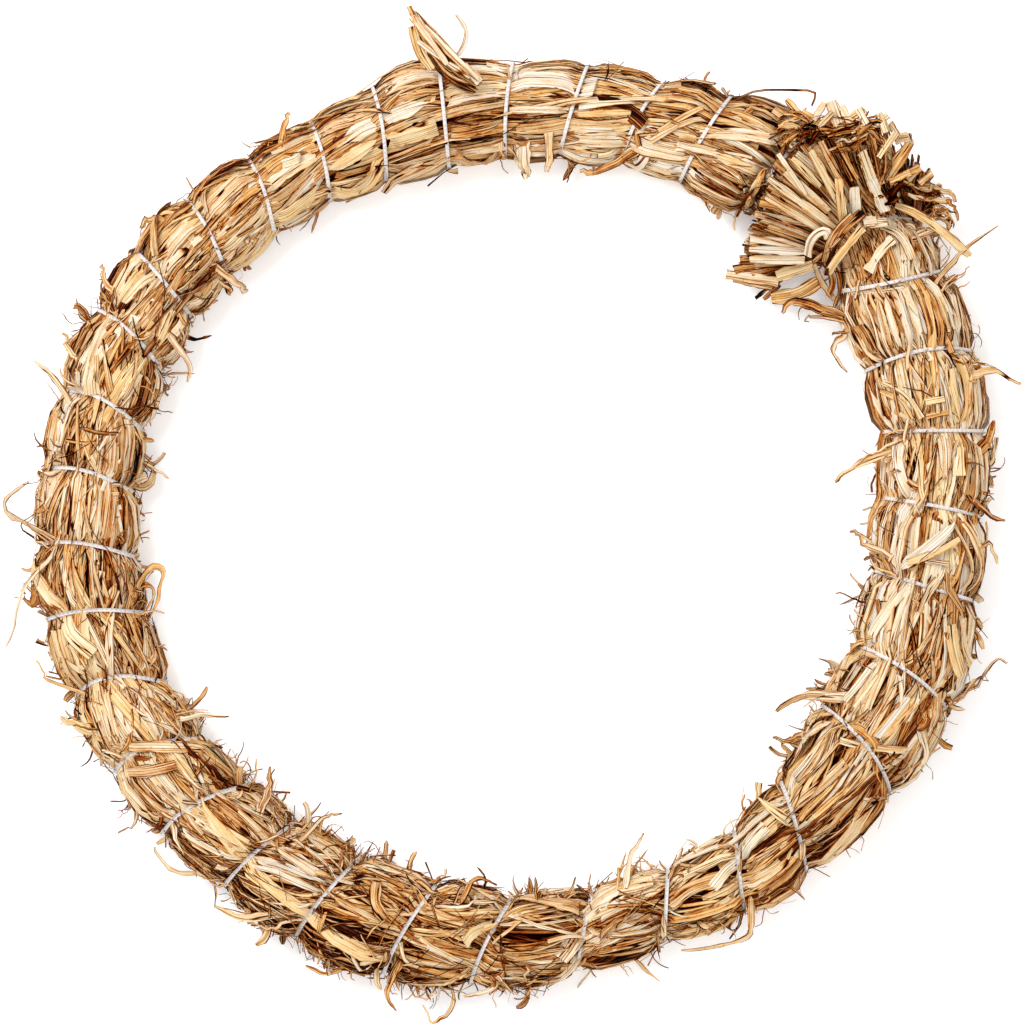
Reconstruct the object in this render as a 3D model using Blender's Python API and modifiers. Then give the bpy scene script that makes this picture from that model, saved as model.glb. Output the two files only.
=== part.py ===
"""A straw wreath ring: a bundle of straw bent into a ring and bound with one wound thread.

Metres, +Z up. The ring lies flat on the plane z = 0 with its hole upright, and the middle of
its outline is the origin. Ring angles are in degrees, counterclockwise from +X. Section angles
run round the bundle: 0 is its outer side, 90 its front (top), 180 its inner side, 270 its
underside.
"""

import math

import bmesh
import bpy
from mathutils import Vector

MM = 0.001

# The ring
FRONT = 90.0
CENTRE_RADIUS = 134.5 * MM
RING_CENTRE = Vector((-0.5, -3.4, 0.0)) * MM
BUNDLE_HALF_WIDTH = 16.0 * MM
HEIGHT_RATIO = 0.9
REST_DEPTH = 1.3 * MM
ROWS_PER_TURN = 3
RIDGES = 9
FRONT_STATION = 4
GROOVE_DEPTH = 1.2 * MM
RIDGE_WANDER = 0.7 * MM
UNDERSIDE = (225.0, 315.0)

# The thread that binds it
THREAD_RADIUS = 0.6 * MM
THREAD_CLEARANCE = 0.4 * MM
PINCH_DEPTH = 3.1 * MM
PINCH_REACH = 4.3 * MM
THREAD_BEVEL_STEPS = 1
THREAD_END = 0.45

# The splayed end, where the straw of one end of the bundle fans out over the other end
SPLAY_STALKS = 21
SPLAY_RIDGE = 1.6 * MM
SPLAY_RAGGED = 0.1
SPLAY_NECK = 2.0 * MM
WALL = 1.6 * MM
CLEARANCE = 0.55 * MM

# Its rim: section angle, ring angle, then how far it stands off the centre radius and its
# height, in mm
SPLAY_RIM = [
    (-48, 38.0, 36.5, 9.0),
    (-15, 37.4, 39.5, 17.0),
    (15, 41.0, 40.0, 27.0),
    (45, 46.5, 40.5, 36.0),
    (70, 50.6, 32.5, 42.0),
    (95, 52.9, 18.5, 44.0),
    (120, 53.8, 3.5, 41.0),
    (145, 52.6, -10.5, 34.0),
    (170, 50.4, -18.0, 25.0),
    (195, 48.8, -24.0, 16.0),
    (215, 47.2, -28.0, 10.0),
    (230, 43.6, -24.0, 6.0),
]

# Loose straws
STRAW_THICKNESS = 0.9 * MM
STRAW_TAPER = 0.55

# Ring angle, how far the bundle's middle stands off the centre radius in mm, and its half width
# as a share of the usual one
BUNDLE_STATIONS = [
    (0, -0.1, 1.09),
    (12, 4.2, 1.09),
    (22, 6.2, 1.18),
    (31, 8.6, 1.18),
    (40, 14.2, 0.97),
    (46, 11.4, 0.85),
    (51, 6.4, 0.91),
    (56, 5.6, 1.16),
    (65, 3.1, 1.0),
    (72, 1.3, 0.9),
    (80, -0.4, 0.93),
    (90, -2.5, 0.95),
    (102, -1.8, 1.1),
    (111, -3.8, 0.91),
    (120, -3.6, 0.82),
    (130, -1.7, 0.9),
    (145, 0.4, 0.94),
    (170, 0.8, 0.96),
    (190, 1.6, 1.05),
    (200, 1.0, 0.97),
    (215, 1.0, 1.0),
    (230, -1.2, 1.03),
    (250, -0.6, 1.12),
    (262, -0.8, 1.04),
    (272, -0.7, 0.91),
    (282, -1.8, 0.79),
    (291, -1.9, 0.74),
    (301, -0.1, 0.81),
    (311, -0.6, 0.89),
    (320, -0.7, 1.01),
    (330, -1.6, 1.18),
    (340, 0.1, 1.17),
    (350, -0.6, 1.12),
]

# Where each turn of the thread crosses the front, at the middle of the bundle. The first turn
# is the one beyond the splayed end, and the last one binds that end's neck.
TURN_ANGLES = [
    53.3, 63.6, 72.6, 81.3, 90.2, 99.2, 107.9, 117.0, 126.5, 135.8, 145.2, 153.8,
    163.3, 173.2, 182.8, 192.2, 201.3, 212.0, 222.0, 232.3, 243.5, 255.2, 266.7, 279.8,
    291.5, 302.8, 312.8, 328.0, 339.4, 351.2, 361.5, 372.0, 382.9, 392.3, 400.9,
]
TURNS = len(TURN_ANGLES)

# Straws that stand clear of the bundle: width in mm, the section angle where the root lies on
# the bundle, how far the tip rises in mm, the root's ring angle, then points of ring angle and
# how far they stand off the centre radius in mm.
LOOSE_STRAWS = [
    (2.2, 50, -7, 29.2, [(31.0, 33.5), (31.4, 48.5)]),
    (4.0, 55, -8, 35.4, [(34.0, 32.5), (30.1, 35.0)]),
    (3.0, 50, -4, 18.2, [(17.0, 27.5), (15.1, 34.5)]),
    (5.0, 50, -7, 7.6, [(9.8, 20.5), (12.0, 24.0)]),
    (2.8, 50, -3, 3.4, [(1.4, 16.5), (0.6, 23.5)]),
    (2.4, 50, -6, -2.8, [(-3.0, 17.5), (-5.0, 22.0)]),
    (1.8, 10, 1, -21.2, [(-19.6, 22.7), (-15.6, 26.8), (-15.7, 31.0)]),
    (3.4, 50, -8, -26.0, [(-29.0, 18.0), (-32.0, 17.5)]),
    (2.6, 50, -5, -57.0, [(-59.2, 15.5), (-60.6, 19.1), (-64.5, 17.0), (-68.4, 13.9)]),
    (1.6, -30, 0, -74.6, [(-73.4, 15.5), (-72.0, 20.7)]),
    (3.2, 50, -5, -90.4, [(-92.6, 15.3), (-95.6, 18.1)]),
    (1.8, 10, 0, -97.6, [(-97.0, 21.9), (-98.9, 25.5), (-100.5, 21.7)]),
    (3.4, 50, -4, -104.2, [(-104.6, 20.5), (-103.0, 25.5)]),
    (2.6, 10, 1, -109.8, [(-112.2, 21.5), (-114.6, 21.9)]),
    (3.6, 50, -7, -120.4, [(-124.0, 18.1), (-127.6, 20.5)]),
    (2.4, 10, 2, -131.0, [(-134.0, 20.1), (-137.6, 19.5)]),
    (1.8, 10, 3, -142.6, [(-141.4, 20.5), (-141.6, 25.5)]),
    (5.0, 50, -7, -151.2, [(-154.4, 18.3), (-156.5, 21.9)]),
    (1.6, 50, -4, -157.6, [(-161.0, 19.1), (-163.6, 22.9)]),
    (4.6, 10, -3, -172.6, [(-170.2, 20.9), (-172.0, 24.3)]),
    (1.8, 50, 3, 184.2, [(188.0, 21.5), (193.5, 30.1)]),
    (3.4, 50, -6, 179.6, [(179.2, 21.5), (178.2, 27.9), (175.4, 23.5)]),
    (2.6, 50, -3, 165.4, [(162.8, 18.1), (161.3, 26.3)]),
    (3.0, 50, -4, 160.4, [(158.6, 16.5), (157.0, 20.7)]),
    (2.6, 50, -4, 150.2, [(149.2, 17.7), (147.6, 19.5)]),
    (4.8, 50, -6, 137.8, [(139.6, 14.9), (141.8, 16.1)]),
    (3.0, 50, -3, 122.4, [(120.2, 11.1), (118.6, 14.1)]),
    (3.6, 130, -5, 139.2, [(138.6, -18.5), (138.6, -22.9)]),
    (2.6, 130, -2, 150.6, [(153.6, -19.9), (156.4, -21.9)]),
    (2.0, 170, 1, 151.0, [(150.0, -19.5), (148.2, -22.7)]),
    (1.8, 170, -2, 170.8, [(171.2, -18.5), (172.6, -23.7)]),
    (3.8, 130, -3, 187.0, [(188.2, -18.9), (190.0, -21.1)]),
    (2.4, 130, -4, 210.0, [(212.4, -20.9), (214.3, -25.9)]),
    (3.0, 130, -2, 229.4, [(227.4, -21.1), (225.6, -25.5)]),
    (2.2, 130, 2, 236.2, [(237.8, -23.9), (240.0, -26.9)]),
    (2.6, 130, -2, 262.0, [(264.2, -20.9), (267.8, -18.9)]),
    (2.6, 130, -4, 286.8, [(290.2, -21.3), (293.2, -26.5)]),
    (4.2, 130, -4, 333.0, [(329.6, -25.1), (325.0, -30.1)]),
    (3.6, 170, 0, 324.6, [(322.4, -21.5), (320.6, -25.7)]),
    (2.6, 130, 2, 354.4, [(356.0, -21.9), (358.4, -26.3)]),
    (3.2, 130, -4, 371.0, [(369.4, -22.1), (366.8, -29.7)]),
    (4.4, 140, -3, 32.0, [(35.2, -15.5), (38.0, -25.1)]),
    (2.6, 170, -1, 30.0, [(28.0, -16.9), (24.2, -15.9)]),
    (3.8, 130, -4, 70.6, [(75.0, -18.1), (78.6, -21.1)]),
    (3.6, 121, -3, 84.6, [(84.2, -17.9), (84.0, -21.9)]),
    (6.0, 130, -4, 88.6, [(88.0, -19.5), (87.5, -25.1)]),
]

# The tied sprig beside the top of the ring: where its root lies, then points of ring angle and
# how far they stand off the centre radius in mm
SPRIG_SECTION = 60.0
SPRIG_ROOT = 94.6
SPRIG_POINTS = [(98.1, 13.0), (100.0, 23.5), (101.2, 32.9)]
SPRIG_STALKS = 6
SPRIG_RADIUS = 3.6 * MM
SPRIG_GROOVE = 1.3 * MM
SPRIG_TAPER = 0.4
SPRIG_TWIST = 75.0
SPRIG_RISE = 3.0 * MM
SPRIG_STEPS = 7

STRAW_GOLD = (0.55, 0.36, 0.16, 1.0)
STRAW_PALE = (0.72, 0.55, 0.32, 1.0)
THREAD_WHITE = (0.62, 0.58, 0.53, 1.0)


def clear_scene():
    for old in list(bpy.data.objects):
        bpy.data.objects.remove(old)


def new_collection(name):
    made = bpy.data.collections.new(name)
    bpy.context.scene.collection.children.link(made)
    return made


def finish(name, colour, roughness):
    """A Principled material of one colour."""
    made = bpy.data.materials.new(name)
    made.use_nodes = True
    shader = made.node_tree.nodes["Principled BSDF"]
    shader.inputs["Base Color"].default_value = colour
    shader.inputs["Roughness"].default_value = roughness
    shader.inputs["Metallic"].default_value = 0.0
    return made


def eased(share):
    """A share from 0 to 1 that starts and ends gently."""
    return share * share * (3.0 - 2.0 * share)


def at_station(angle, column):
    """A column of BUNDLE_STATIONS at a ring angle, eased from station to station."""
    angle = angle % 360.0
    following = BUNDLE_STATIONS[1:] + [(360.0,) + BUNDLE_STATIONS[0][1:]]
    for before, after in zip(BUNDLE_STATIONS, following):
        if before[0] <= angle <= after[0]:
            share = eased((angle - before[0]) / (after[0] - before[0]))
            return before[column] + share * (after[column] - before[column])


def bundle_radius(angle):
    """How far the bundle's middle is from the ring's middle."""
    return CENTRE_RADIUS + at_station(angle, 1) * MM


def ring_angle(turn):
    """The ring angle where the winding has made this many turns, on the front's middle."""
    whole = math.floor(turn)
    rounds, index = divmod(whole, TURNS)
    here = TURN_ANGLES[index] + 360.0 * rounds
    following = TURN_ANGLES[(index + 1) % TURNS] + 360.0 * ((whole + 1) // TURNS)
    return here + (turn - whole) * (following - here)


def turn_at(angle):
    """The winding's turn number at a ring angle: ring_angle's inverse."""
    low, high = -2.0 * TURNS, 3.0 * TURNS
    for _ in range(48):
        middle = (low + high) / 2.0
        if ring_angle(middle) < angle:
            low = middle
        else:
            high = middle
    return low


def pinch(angle, section):
    """How far the thread draws the bundle in at a place on it."""
    turn = turn_at(angle) - (section - FRONT) / 360.0
    nearest = round(turn)
    away = abs(turn - nearest)
    pitch = math.radians(ring_angle(nearest + 0.5) - ring_angle(nearest - 0.5))
    return PINCH_DEPTH * math.exp(-((away * pitch * CENTRE_RADIUS / PINCH_REACH) ** 2))


def outward(angle):
    """The level direction away from the ring's middle."""
    turned = math.radians(angle)
    return Vector((math.cos(turned), math.sin(turned), 0.0))


def on_bundle(angle, section, lift):
    """A point this far off the bundle's surface, and the direction that leads away from it."""
    half_width = BUNDLE_HALF_WIDTH * at_station(angle, 2)
    half_height = HEIGHT_RATIO * half_width
    turned = math.radians(section)
    away = outward(angle) * (math.cos(turned) / half_width)
    away += Vector((0.0, 0.0, math.sin(turned) / half_height))
    away.normalize()
    middle = outward(angle) * bundle_radius(angle)
    middle.z = half_height - REST_DEPTH
    point = middle + outward(angle) * (half_width * math.cos(turned))
    point.z += half_height * math.sin(turned)
    return RING_CENTRE + point + away * (lift - pinch(angle, section)), away


def in_plan(angle, stand_off, height):
    """A point by ring angle, how far it is off the centre radius, and height over the floor."""
    point = RING_CENTRE + outward(angle) * (CENTRE_RADIUS + stand_off)
    point.z = height
    return point


def new_object(name, mesh, material, collection):
    made = bpy.data.objects.new(name, mesh)
    made.data.materials.append(material)
    collection.objects.link(made)
    return made


def lofted(name, rings, material, collection):
    """A closed solid through rings of as many points each, with both ends capped."""
    shape = bmesh.new()
    rows = [[shape.verts.new(point) for point in ring] for ring in rings]
    sides = len(rows[0])
    for row, beyond in zip(rows, rows[1:]):
        for i in range(sides):
            j = (i + 1) % sides
            shape.faces.new((row[i], row[j], beyond[j], beyond[i]))
    shape.faces.new(reversed(rows[0]))
    shape.faces.new(rows[-1])
    bmesh.ops.recalc_face_normals(shape, faces=shape.faces)
    mesh = bpy.data.meshes.new(name)
    shape.to_mesh(mesh)
    shape.free()
    return new_object(name, mesh, material, collection)


def ridge_wander(turn, section):
    """A slow rise and fall, so that no two ridges of straw look alike."""
    waves = math.sin(1.9 * turn + 0.11 * section) + math.sin(0.83 * turn - 0.071 * section)
    return RIDGE_WANDER * 0.5 * waves


def ring_vertex(row, station):
    """A vertex of the bundle. Rows follow the winding, so that every third one lies under the thread."""
    section = FRONT + (station - FRONT_STATION) * 180.0 / RIDGES
    turn = row / ROWS_PER_TURN + (section - FRONT) / 360.0
    angle = ring_angle(turn)
    under_thread = row % ROWS_PER_TURN == 0
    underneath = UNDERSIDE[0] < section < UNDERSIDE[1]
    lift = 0.0
    if station % 2 and (under_thread or not underneath):
        lift -= GROOVE_DEPTH
    if not under_thread and not underneath:
        lift += ridge_wander(turn, section)
    point, _ = on_bundle(angle, section, lift)
    point.z = max(point.z, 0.0)
    return point


def build_straw_ring(material, collection):
    """The bundle: a sheet lofted along the winding and closed on itself a turn later."""
    rows, stations = ROWS_PER_TURN * TURNS, 2 * RIDGES
    shape = bmesh.new()
    grid = [[shape.verts.new(ring_vertex(r, s)) for s in range(stations)] for r in range(rows)]

    def vertex(row, station):
        if station == stations:
            row, station = row + ROWS_PER_TURN, 0
        return grid[row % rows][station]

    for r in range(rows):
        for s in range(stations):
            corners = (vertex(r, s), vertex(r, s + 1), vertex(r + 1, s + 1), vertex(r + 1, s))
            shape.faces.new(corners)
    bmesh.ops.recalc_face_normals(shape, faces=shape.faces)
    mesh = bpy.data.meshes.new("straw_ring")
    shape.to_mesh(mesh)
    shape.free()
    return new_object("straw_ring", mesh, material, collection)


def thread_path():
    """The thread's middle line: one point over each ridge of straw, from turn to turn."""
    lift = THREAD_RADIUS + THREAD_CLEARANCE
    first = math.ceil(-THREAD_END * RIDGES)
    last = math.floor((TURNS - 1 + THREAD_END) * RIDGES)
    points = []
    for step in range(first, last + 1):
        turn = step / RIDGES
        section = FRONT + 360.0 * (turn - math.floor(turn))
        points.append(on_bundle(ring_angle(turn), section, lift)[0])
    return points


def build_thread(material, collection):
    """One long wire, wound round the bundle in its pinched valleys."""
    line = bpy.data.curves.new("binding_thread", "CURVE")
    line.dimensions = "3D"
    line.bevel_depth = THREAD_RADIUS
    line.bevel_resolution = THREAD_BEVEL_STEPS
    line.use_fill_caps = True
    path = thread_path()
    spline = line.splines.new("POLY")
    spline.points.add(len(path) - 1)
    for place, point in zip(spline.points, path):
        place.co = (*point, 1.0)
    return new_object("binding_thread", line, material, collection)


def ragged(index):
    """A fixed number from -1 to 1 that jumps from one index to the next."""
    return math.sin(12.9898 * index)


def on_rim(section):
    """The point of the fanned straw's rim at a section angle."""
    for before, after in zip(SPLAY_RIM, SPLAY_RIM[1:]):
        if before[0] <= section <= after[0]:
            share = (section - before[0]) / (after[0] - before[0])
            angle, stand_off, height = [a + share * (b - a) for a, b in zip(before[1:], after[1:])]
            return in_plan(angle, stand_off * MM, height * MM)


def splay_neck(section):
    """Where a stalk leaves the bundle, just past the last turn of the thread."""
    turn = TURNS - 1 + (section - FRONT) / 360.0
    angle = ring_angle(turn) + math.degrees(SPLAY_NECK / CENTRE_RADIUS)
    return on_bundle(angle, section, CLEARANCE + WALL)


def build_splayed_end(material, collection):
    """A pleated bell, open below: each pleat is a flattened stalk, and the rim is ragged."""
    first, last = SPLAY_RIM[0][0], SPLAY_RIM[-1][0]
    columns = 2 * SPLAY_STALKS + 1
    shares = (0.0, 0.35, 0.7, 1.0)
    shape = bmesh.new()
    grid = []
    for column in range(columns):
        section = first + (last - first) * column / (columns - 1)
        neck, away = splay_neck(section)
        rim = on_rim(section)
        length = 1.0 + SPLAY_RAGGED * ragged(column // 2)
        ridge = SPLAY_RIDGE if column % 2 else 0.0
        line = []
        for share in shares:
            point = neck.lerp(rim, share * length) + away * (ridge * share)
            point.z = max(point.z, WALL)
            line.append(shape.verts.new(point))
        grid.append(line)
    for left, right in zip(grid, grid[1:]):
        for k in range(len(shares) - 1):
            shape.faces.new((left[k], right[k], right[k + 1], left[k + 1]))
    bmesh.ops.recalc_face_normals(shape, faces=shape.faces)
    mesh = bpy.data.meshes.new("splayed_end")
    shape.to_mesh(mesh)
    shape.free()
    made = new_object("splayed_end", mesh, material, collection)
    wall = made.modifiers.new("wall", "SOLIDIFY")
    wall.thickness = WALL
    wall.offset = 0.0
    return made


def straw_rings(points, root_up, width):
    """Flat four-cornered sections along a straw, which lies flat on the bundle at its root."""
    rings = []
    rise = STRAW_THICKNESS / 2.0
    for i, point in enumerate(points):
        before, after = points[max(i - 1, 0)], points[min(i + 1, len(points) - 1)]
        along = (after - before).normalized()
        upward = Vector((0.0, 0.0, 1.0)) if i else root_up
        across = along.cross(upward).normalized()
        up = across.cross(along)
        side = width * (1.0 - STRAW_TAPER * i / (len(points) - 1)) / 2.0
        corners = ((-side, -rise), (side, -rise), (side, rise), (-side, rise))
        rings.append([point + across * a + up * b for a, b in corners])
    return rings


def build_loose_straw(name, row, material, collection):
    """One straw that leans out of the bundle from where its root lies on it."""
    width, section, rise, root_angle, places = row
    root, away = on_bundle(root_angle, section, CLEARANCE + STRAW_THICKNESS / 2.0)
    points = [root]
    for i, (angle, stand_off) in enumerate(places):
        height = root.z + rise * MM * (i + 1) / len(places)
        points.append(in_plan(angle, stand_off * MM, max(height, STRAW_THICKNESS)))
    return lofted(name, straw_rings(points, away, width * MM), material, collection)


def build_sprig(material, collection):
    """A short twisted bunch of stalks that stands off beside the top of the ring."""
    root, _ = on_bundle(SPRIG_ROOT, SPRIG_SECTION, CLEARANCE + SPRIG_RADIUS)
    line = [root]
    for i, (angle, stand_off) in enumerate(SPRIG_POINTS):
        height = root.z + SPRIG_RISE * (i + 1) / len(SPRIG_POINTS)
        line.append(in_plan(angle, stand_off * MM, height))
    rings = []
    for step in range(SPRIG_STEPS):
        share = step / (SPRIG_STEPS - 1)
        place = share * (len(line) - 1)
        index = min(int(place), len(line) - 2)
        middle = line[index].lerp(line[index + 1], place - index)
        along = (line[index + 1] - line[index]).normalized()
        across = along.cross(Vector((0.0, 0.0, 1.0))).normalized()
        up = across.cross(along)
        ring = []
        for corner in range(2 * SPRIG_STALKS):
            turned = math.radians(180.0 * corner / SPRIG_STALKS + SPRIG_TWIST * share)
            radius = SPRIG_RADIUS * (1.0 - SPRIG_TAPER * share)
            if corner % 2:
                radius -= SPRIG_GROOVE
            ring.append(middle + (across * math.cos(turned) + up * math.sin(turned)) * radius)
        rings.append(ring)
    return lofted("tied_sprig", rings, material, collection)


def build_wreath():
    clear_scene()
    wreath = new_collection("straw_wreath")
    gold = finish("straw", STRAW_GOLD, 0.6)
    pale = finish("pale_straw", STRAW_PALE, 0.55)
    white = finish("thread", THREAD_WHITE, 0.8)
    build_straw_ring(gold, wreath)
    build_thread(white, wreath)
    build_splayed_end(pale, wreath)
    build_sprig(gold, wreath)
    for number, row in enumerate(LOOSE_STRAWS, 1):
        build_loose_straw(f"loose_straw_{number:02d}", row, pale, wreath)


build_wreath()
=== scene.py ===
# %% [markdown]
# # A straw wreath ring
#
# Wreath makers start from a ring of straw: a bundle of loose blades, bent round and bound with
# thread that runs round and round it. This lesson dresses the plain solids of such a ring with
# what the eye sees on the real one: thousands of blades, strips and hairs, each one its own
# little mesh, all laid out with numpy so that a few rules and tables make every one of them.
#
# The first cell loads the plain solids. Whatever is made later must stay close to them.

# %% Load the solids
import math

import bpy
import numpy as np
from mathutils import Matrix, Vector


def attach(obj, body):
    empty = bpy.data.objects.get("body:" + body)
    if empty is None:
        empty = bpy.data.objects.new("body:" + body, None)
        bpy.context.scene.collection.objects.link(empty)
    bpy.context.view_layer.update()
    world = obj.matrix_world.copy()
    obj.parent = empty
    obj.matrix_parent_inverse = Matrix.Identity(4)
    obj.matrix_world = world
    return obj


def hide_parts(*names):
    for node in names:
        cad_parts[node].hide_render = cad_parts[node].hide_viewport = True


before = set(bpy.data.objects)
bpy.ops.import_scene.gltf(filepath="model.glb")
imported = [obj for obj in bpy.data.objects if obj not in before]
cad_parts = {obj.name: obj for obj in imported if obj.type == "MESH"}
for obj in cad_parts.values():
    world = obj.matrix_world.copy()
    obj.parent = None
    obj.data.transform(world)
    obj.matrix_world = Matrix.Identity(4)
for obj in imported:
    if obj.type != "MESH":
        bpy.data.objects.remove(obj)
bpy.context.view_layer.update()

MM = 0.001
rng = np.random.default_rng(7)

# %% [markdown]
# ## Where things are on a ring
#
# A place on the bundle has two angles. The ring angle says how far round the ring it is, and
# the section angle how far round the bundle: 0 on the outer side, 90 on the front, 180 on the
# inner side, 270 underneath. Everything is laid out in these two angles and a height over the
# surface, and turned into metres at the very end. So a blade is laid down as if on flat paper,
# and bends round the ring by itself.
#
# The bundle isn't an even tube. This table gives, for a ring angle, how far its middle stands
# off the centre radius and how thick it is, as a share of the usual thickness.

# %% The bundle's shape round the ring
FRONT = 90.0
CENTRE_RADIUS = 134.5
RING_CENTRE = np.array([-0.5, -3.4, 0.0])
HALF_WIDTH = 16.0
HEIGHT_RATIO = 0.9
REST_DEPTH = 1.3
BUNDLE = np.array([
    (0, -0.1, 1.09), (12, 4.2, 1.09), (22, 6.2, 1.18), (31, 8.6, 1.18), (40, 14.2, 0.98),
    (46, 11.4, 0.85), (51, 6.4, 0.91), (56, 5.6, 1.16), (65, 3.1, 1.0), (72, 1.3, 0.9),
    (80, -0.4, 0.93), (90, -2.5, 0.95), (102, -1.8, 1.1), (111, -3.8, 0.91), (120, -3.6, 0.83),
    (130, -1.7, 0.9), (145, 0.4, 0.94), (170, 0.8, 0.96), (190, 1.6, 1.05), (200, 1.0, 0.97),
    (215, 1.0, 1.0), (230, -1.2, 1.03), (250, -0.6, 1.12), (262, -0.8, 1.04), (272, -0.7, 0.91),
    (282, -1.8, 0.79), (291, -1.9, 0.74), (301, -0.1, 0.81), (311, -0.6, 0.89),
    (320, -0.7, 1.01), (330, -1.6, 1.18), (340, 0.1, 1.17), (350, -0.6, 1.12),
])


def round_table(table, angle):
    """The columns of a table of ring angles, eased between its rows and joined at 360."""
    rows = np.vstack([table, table[0] + np.eye(1, table.shape[1])[0] * 360.0])
    angle = np.mod(angle - rows[0, 0], 360.0) + rows[0, 0]
    row = np.clip(np.searchsorted(rows[:, 0], angle, side="right") - 1, 0, len(rows) - 2)
    before, after = rows[row], rows[row + 1]
    share = (angle - before[..., 0]) / (after[..., 0] - before[..., 0])
    share = (share * share * (3.0 - 2.0 * share))[..., None]
    return before[..., 1:] + share * (after[..., 1:] - before[..., 1:])


def bundle_radius(angle):
    """How far the bundle's middle is from the ring's middle, in mm."""
    return CENTRE_RADIUS + round_table(BUNDLE, angle)[..., 0]


def half_width(angle):
    return HALF_WIDTH * round_table(BUNDLE, angle)[..., 1]


narrowest = 2 * HALF_WIDTH * BUNDLE[:, 2].min()
widest = 2 * HALF_WIDTH * BUNDLE[:, 2].max()
print(f"the bundle is {narrowest:.1f} to {widest:.1f} mm wide")

# %% [markdown]
# ## How the thread pinches it
#
# One thread is wound round the bundle in thirty-five turns, and draws the straw in under each.
# The table holds, for every turn, the ring angle where it comes up on the outer side, where it
# crosses the front and where it goes down on the inner side. Underneath it runs on to the next
# turn. The pinch is 1 under the thread and falls away on both sides like a bell curve, which
# makes the plump cushions in between.

# %% The winding and its pinch
TURNS_SEEN = np.array([
    (52.6, 53.3, 53.3), (62.6, 63.5, 63.6), (70.8, 72.5, 73.0), (80.4, 81.5, 82.4), (89.7, 90.6, 90.8),
    (98.9, 99.2, 99.8), (107.6, 108.0, 110.0), (116.5, 117.1, 119.3), (125.8, 126.5, 129.3),
    (135.1, 136.0, 138.9), (144.0, 145.1, 147.2), (152.7, 153.4, 156.5), (163.6, 163.2, 166.0),
    (173.4, 173.1, 175.4), (182.7, 182.8, 185.2), (191.8, 191.8, 193.8), (201.7, 201.2, 205.0),
    (212.3, 211.6, 214.9), (221.8, 221.7, 224.9), (231.8, 232.2, 234.2), (242.6, 243.3, 245.8),
    (254.3, 255.4, 258.4), (265.0, 266.7, 270.2), (278.4, 280.1, 282.4), (290.3, 292.0, 294.4),
    (301.0, 303.0, 306.0), (310.4, 313.1, 316.2), (324.6, 328.0, 329.6), (337.0, 339.5, 340.6),
    (350.4, 351.3, 352.5), (360.7, 362.3, 363.8), (370.9, 372.2, 373.7), (380.3, 382.8, 383.1),
    (390.2, 392.2, 395.0), (396.6, 399.8, 398.2),
])
TURNS = len(TURNS_SEEN)
PINCH_DEPTH = 2.5
PINCH_REACH = 3.3


def thread_angle(turn, section):
    """The ring angle at which a turn of the thread passes a section angle."""
    turn = turn + np.floor(section / 360.0).astype(int)
    laps = 360.0 * (turn // TURNS)
    outer, front, inner = np.moveaxis(TURNS_SEEN[turn % TURNS] + laps[..., None], -1, 0)
    after = TURNS_SEEN[(turn + 1) % TURNS, 0] + 360.0 * ((turn + 1) // TURNS)
    across = np.cos(np.radians(section))
    over = front + (outer - inner) / 2.0 * across + ((outer + inner) / 2.0 - front) * across ** 2
    below = inner + (after - inner) * (1.0 + across) / 2.0
    return np.where(np.mod(section, 360.0) < 180.0, over, below)


def past_thread(angle, section):
    """Degrees of ring angle past the nearest turn of the thread, and from one turn to the next."""
    lap = np.floor((angle - TURNS_SEEN[0, 1]) / 360.0)
    turn = np.searchsorted(TURNS_SEEN[:, 1], angle - 360.0 * lap) + (TURNS * lap).astype(int)
    lines = np.stack([thread_angle(turn + k, np.mod(section, 360.0)) for k in (-2, -1, 0, 1)])
    nearest = np.abs(angle - lines).argmin(axis=0)[None]
    past = angle - np.take_along_axis(lines, nearest, axis=0)[0]
    return past, (lines[3] - lines[0]) / 3.0


def pinch(angle, section):
    """1 where the thread lies, falling to 0 a few millimetres away on both sides."""
    past, _ = past_thread(angle, section)
    return np.exp(-((np.radians(past) * CENTRE_RADIUS / PINCH_REACH) ** 2))


print("the thread makes", TURNS, "turns,", round(360 / TURNS, 1), "degrees apart on average")

# %% [markdown]
# ## From two angles to a point
#
# These functions turn the two angles and a height over the surface into a point in millimetres,
# and say which way is straight off the surface there. The pinch is part of them, so whatever is
# laid on the bundle follows its cushions by itself. The blades at the top of the ring are broad
# and stiff, and give way to the thread least.

# %% Points on the bundle
FIRMEST_ANGLE = 94.0
FIRM_REACH = 37.0
MOST_SOFT = 0.95
FIRMNESS = 0.62


def unit(vectors):
    return vectors / np.maximum(np.linalg.norm(vectors, axis=-1, keepdims=True), 1e-9)


def outward(angle):
    turned = np.radians(angle)
    return np.stack([np.cos(turned), np.sin(turned), np.zeros_like(turned)], axis=-1)


def softness(angle):
    """How far the straw gives way to the thread."""
    from_top = np.mod(angle - FIRMEST_ANGLE + 180.0, 360.0) - 180.0
    return MOST_SOFT - FIRMNESS * np.exp(-((from_top / FIRM_REACH) ** 2))


def on_bundle(angle, section, lift):
    """Points this many mm over the bundle's surface, in mm, and the directions off it."""
    wide = half_width(angle)
    high = HEIGHT_RATIO * wide
    turned = np.radians(section)
    away = outward(angle) * (np.cos(turned) / wide)[..., None]
    away[..., 2] = np.sin(turned) / high
    away = unit(away)
    point = outward(angle) * (bundle_radius(angle) + wide * np.cos(turned))[..., None]
    point[..., 2] = high - REST_DEPTH + high * np.sin(turned)
    drawn_in = PINCH_DEPTH * softness(angle) * pinch(angle, section)
    return RING_CENTRE + point + away * (lift - drawn_in)[..., None], away


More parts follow.
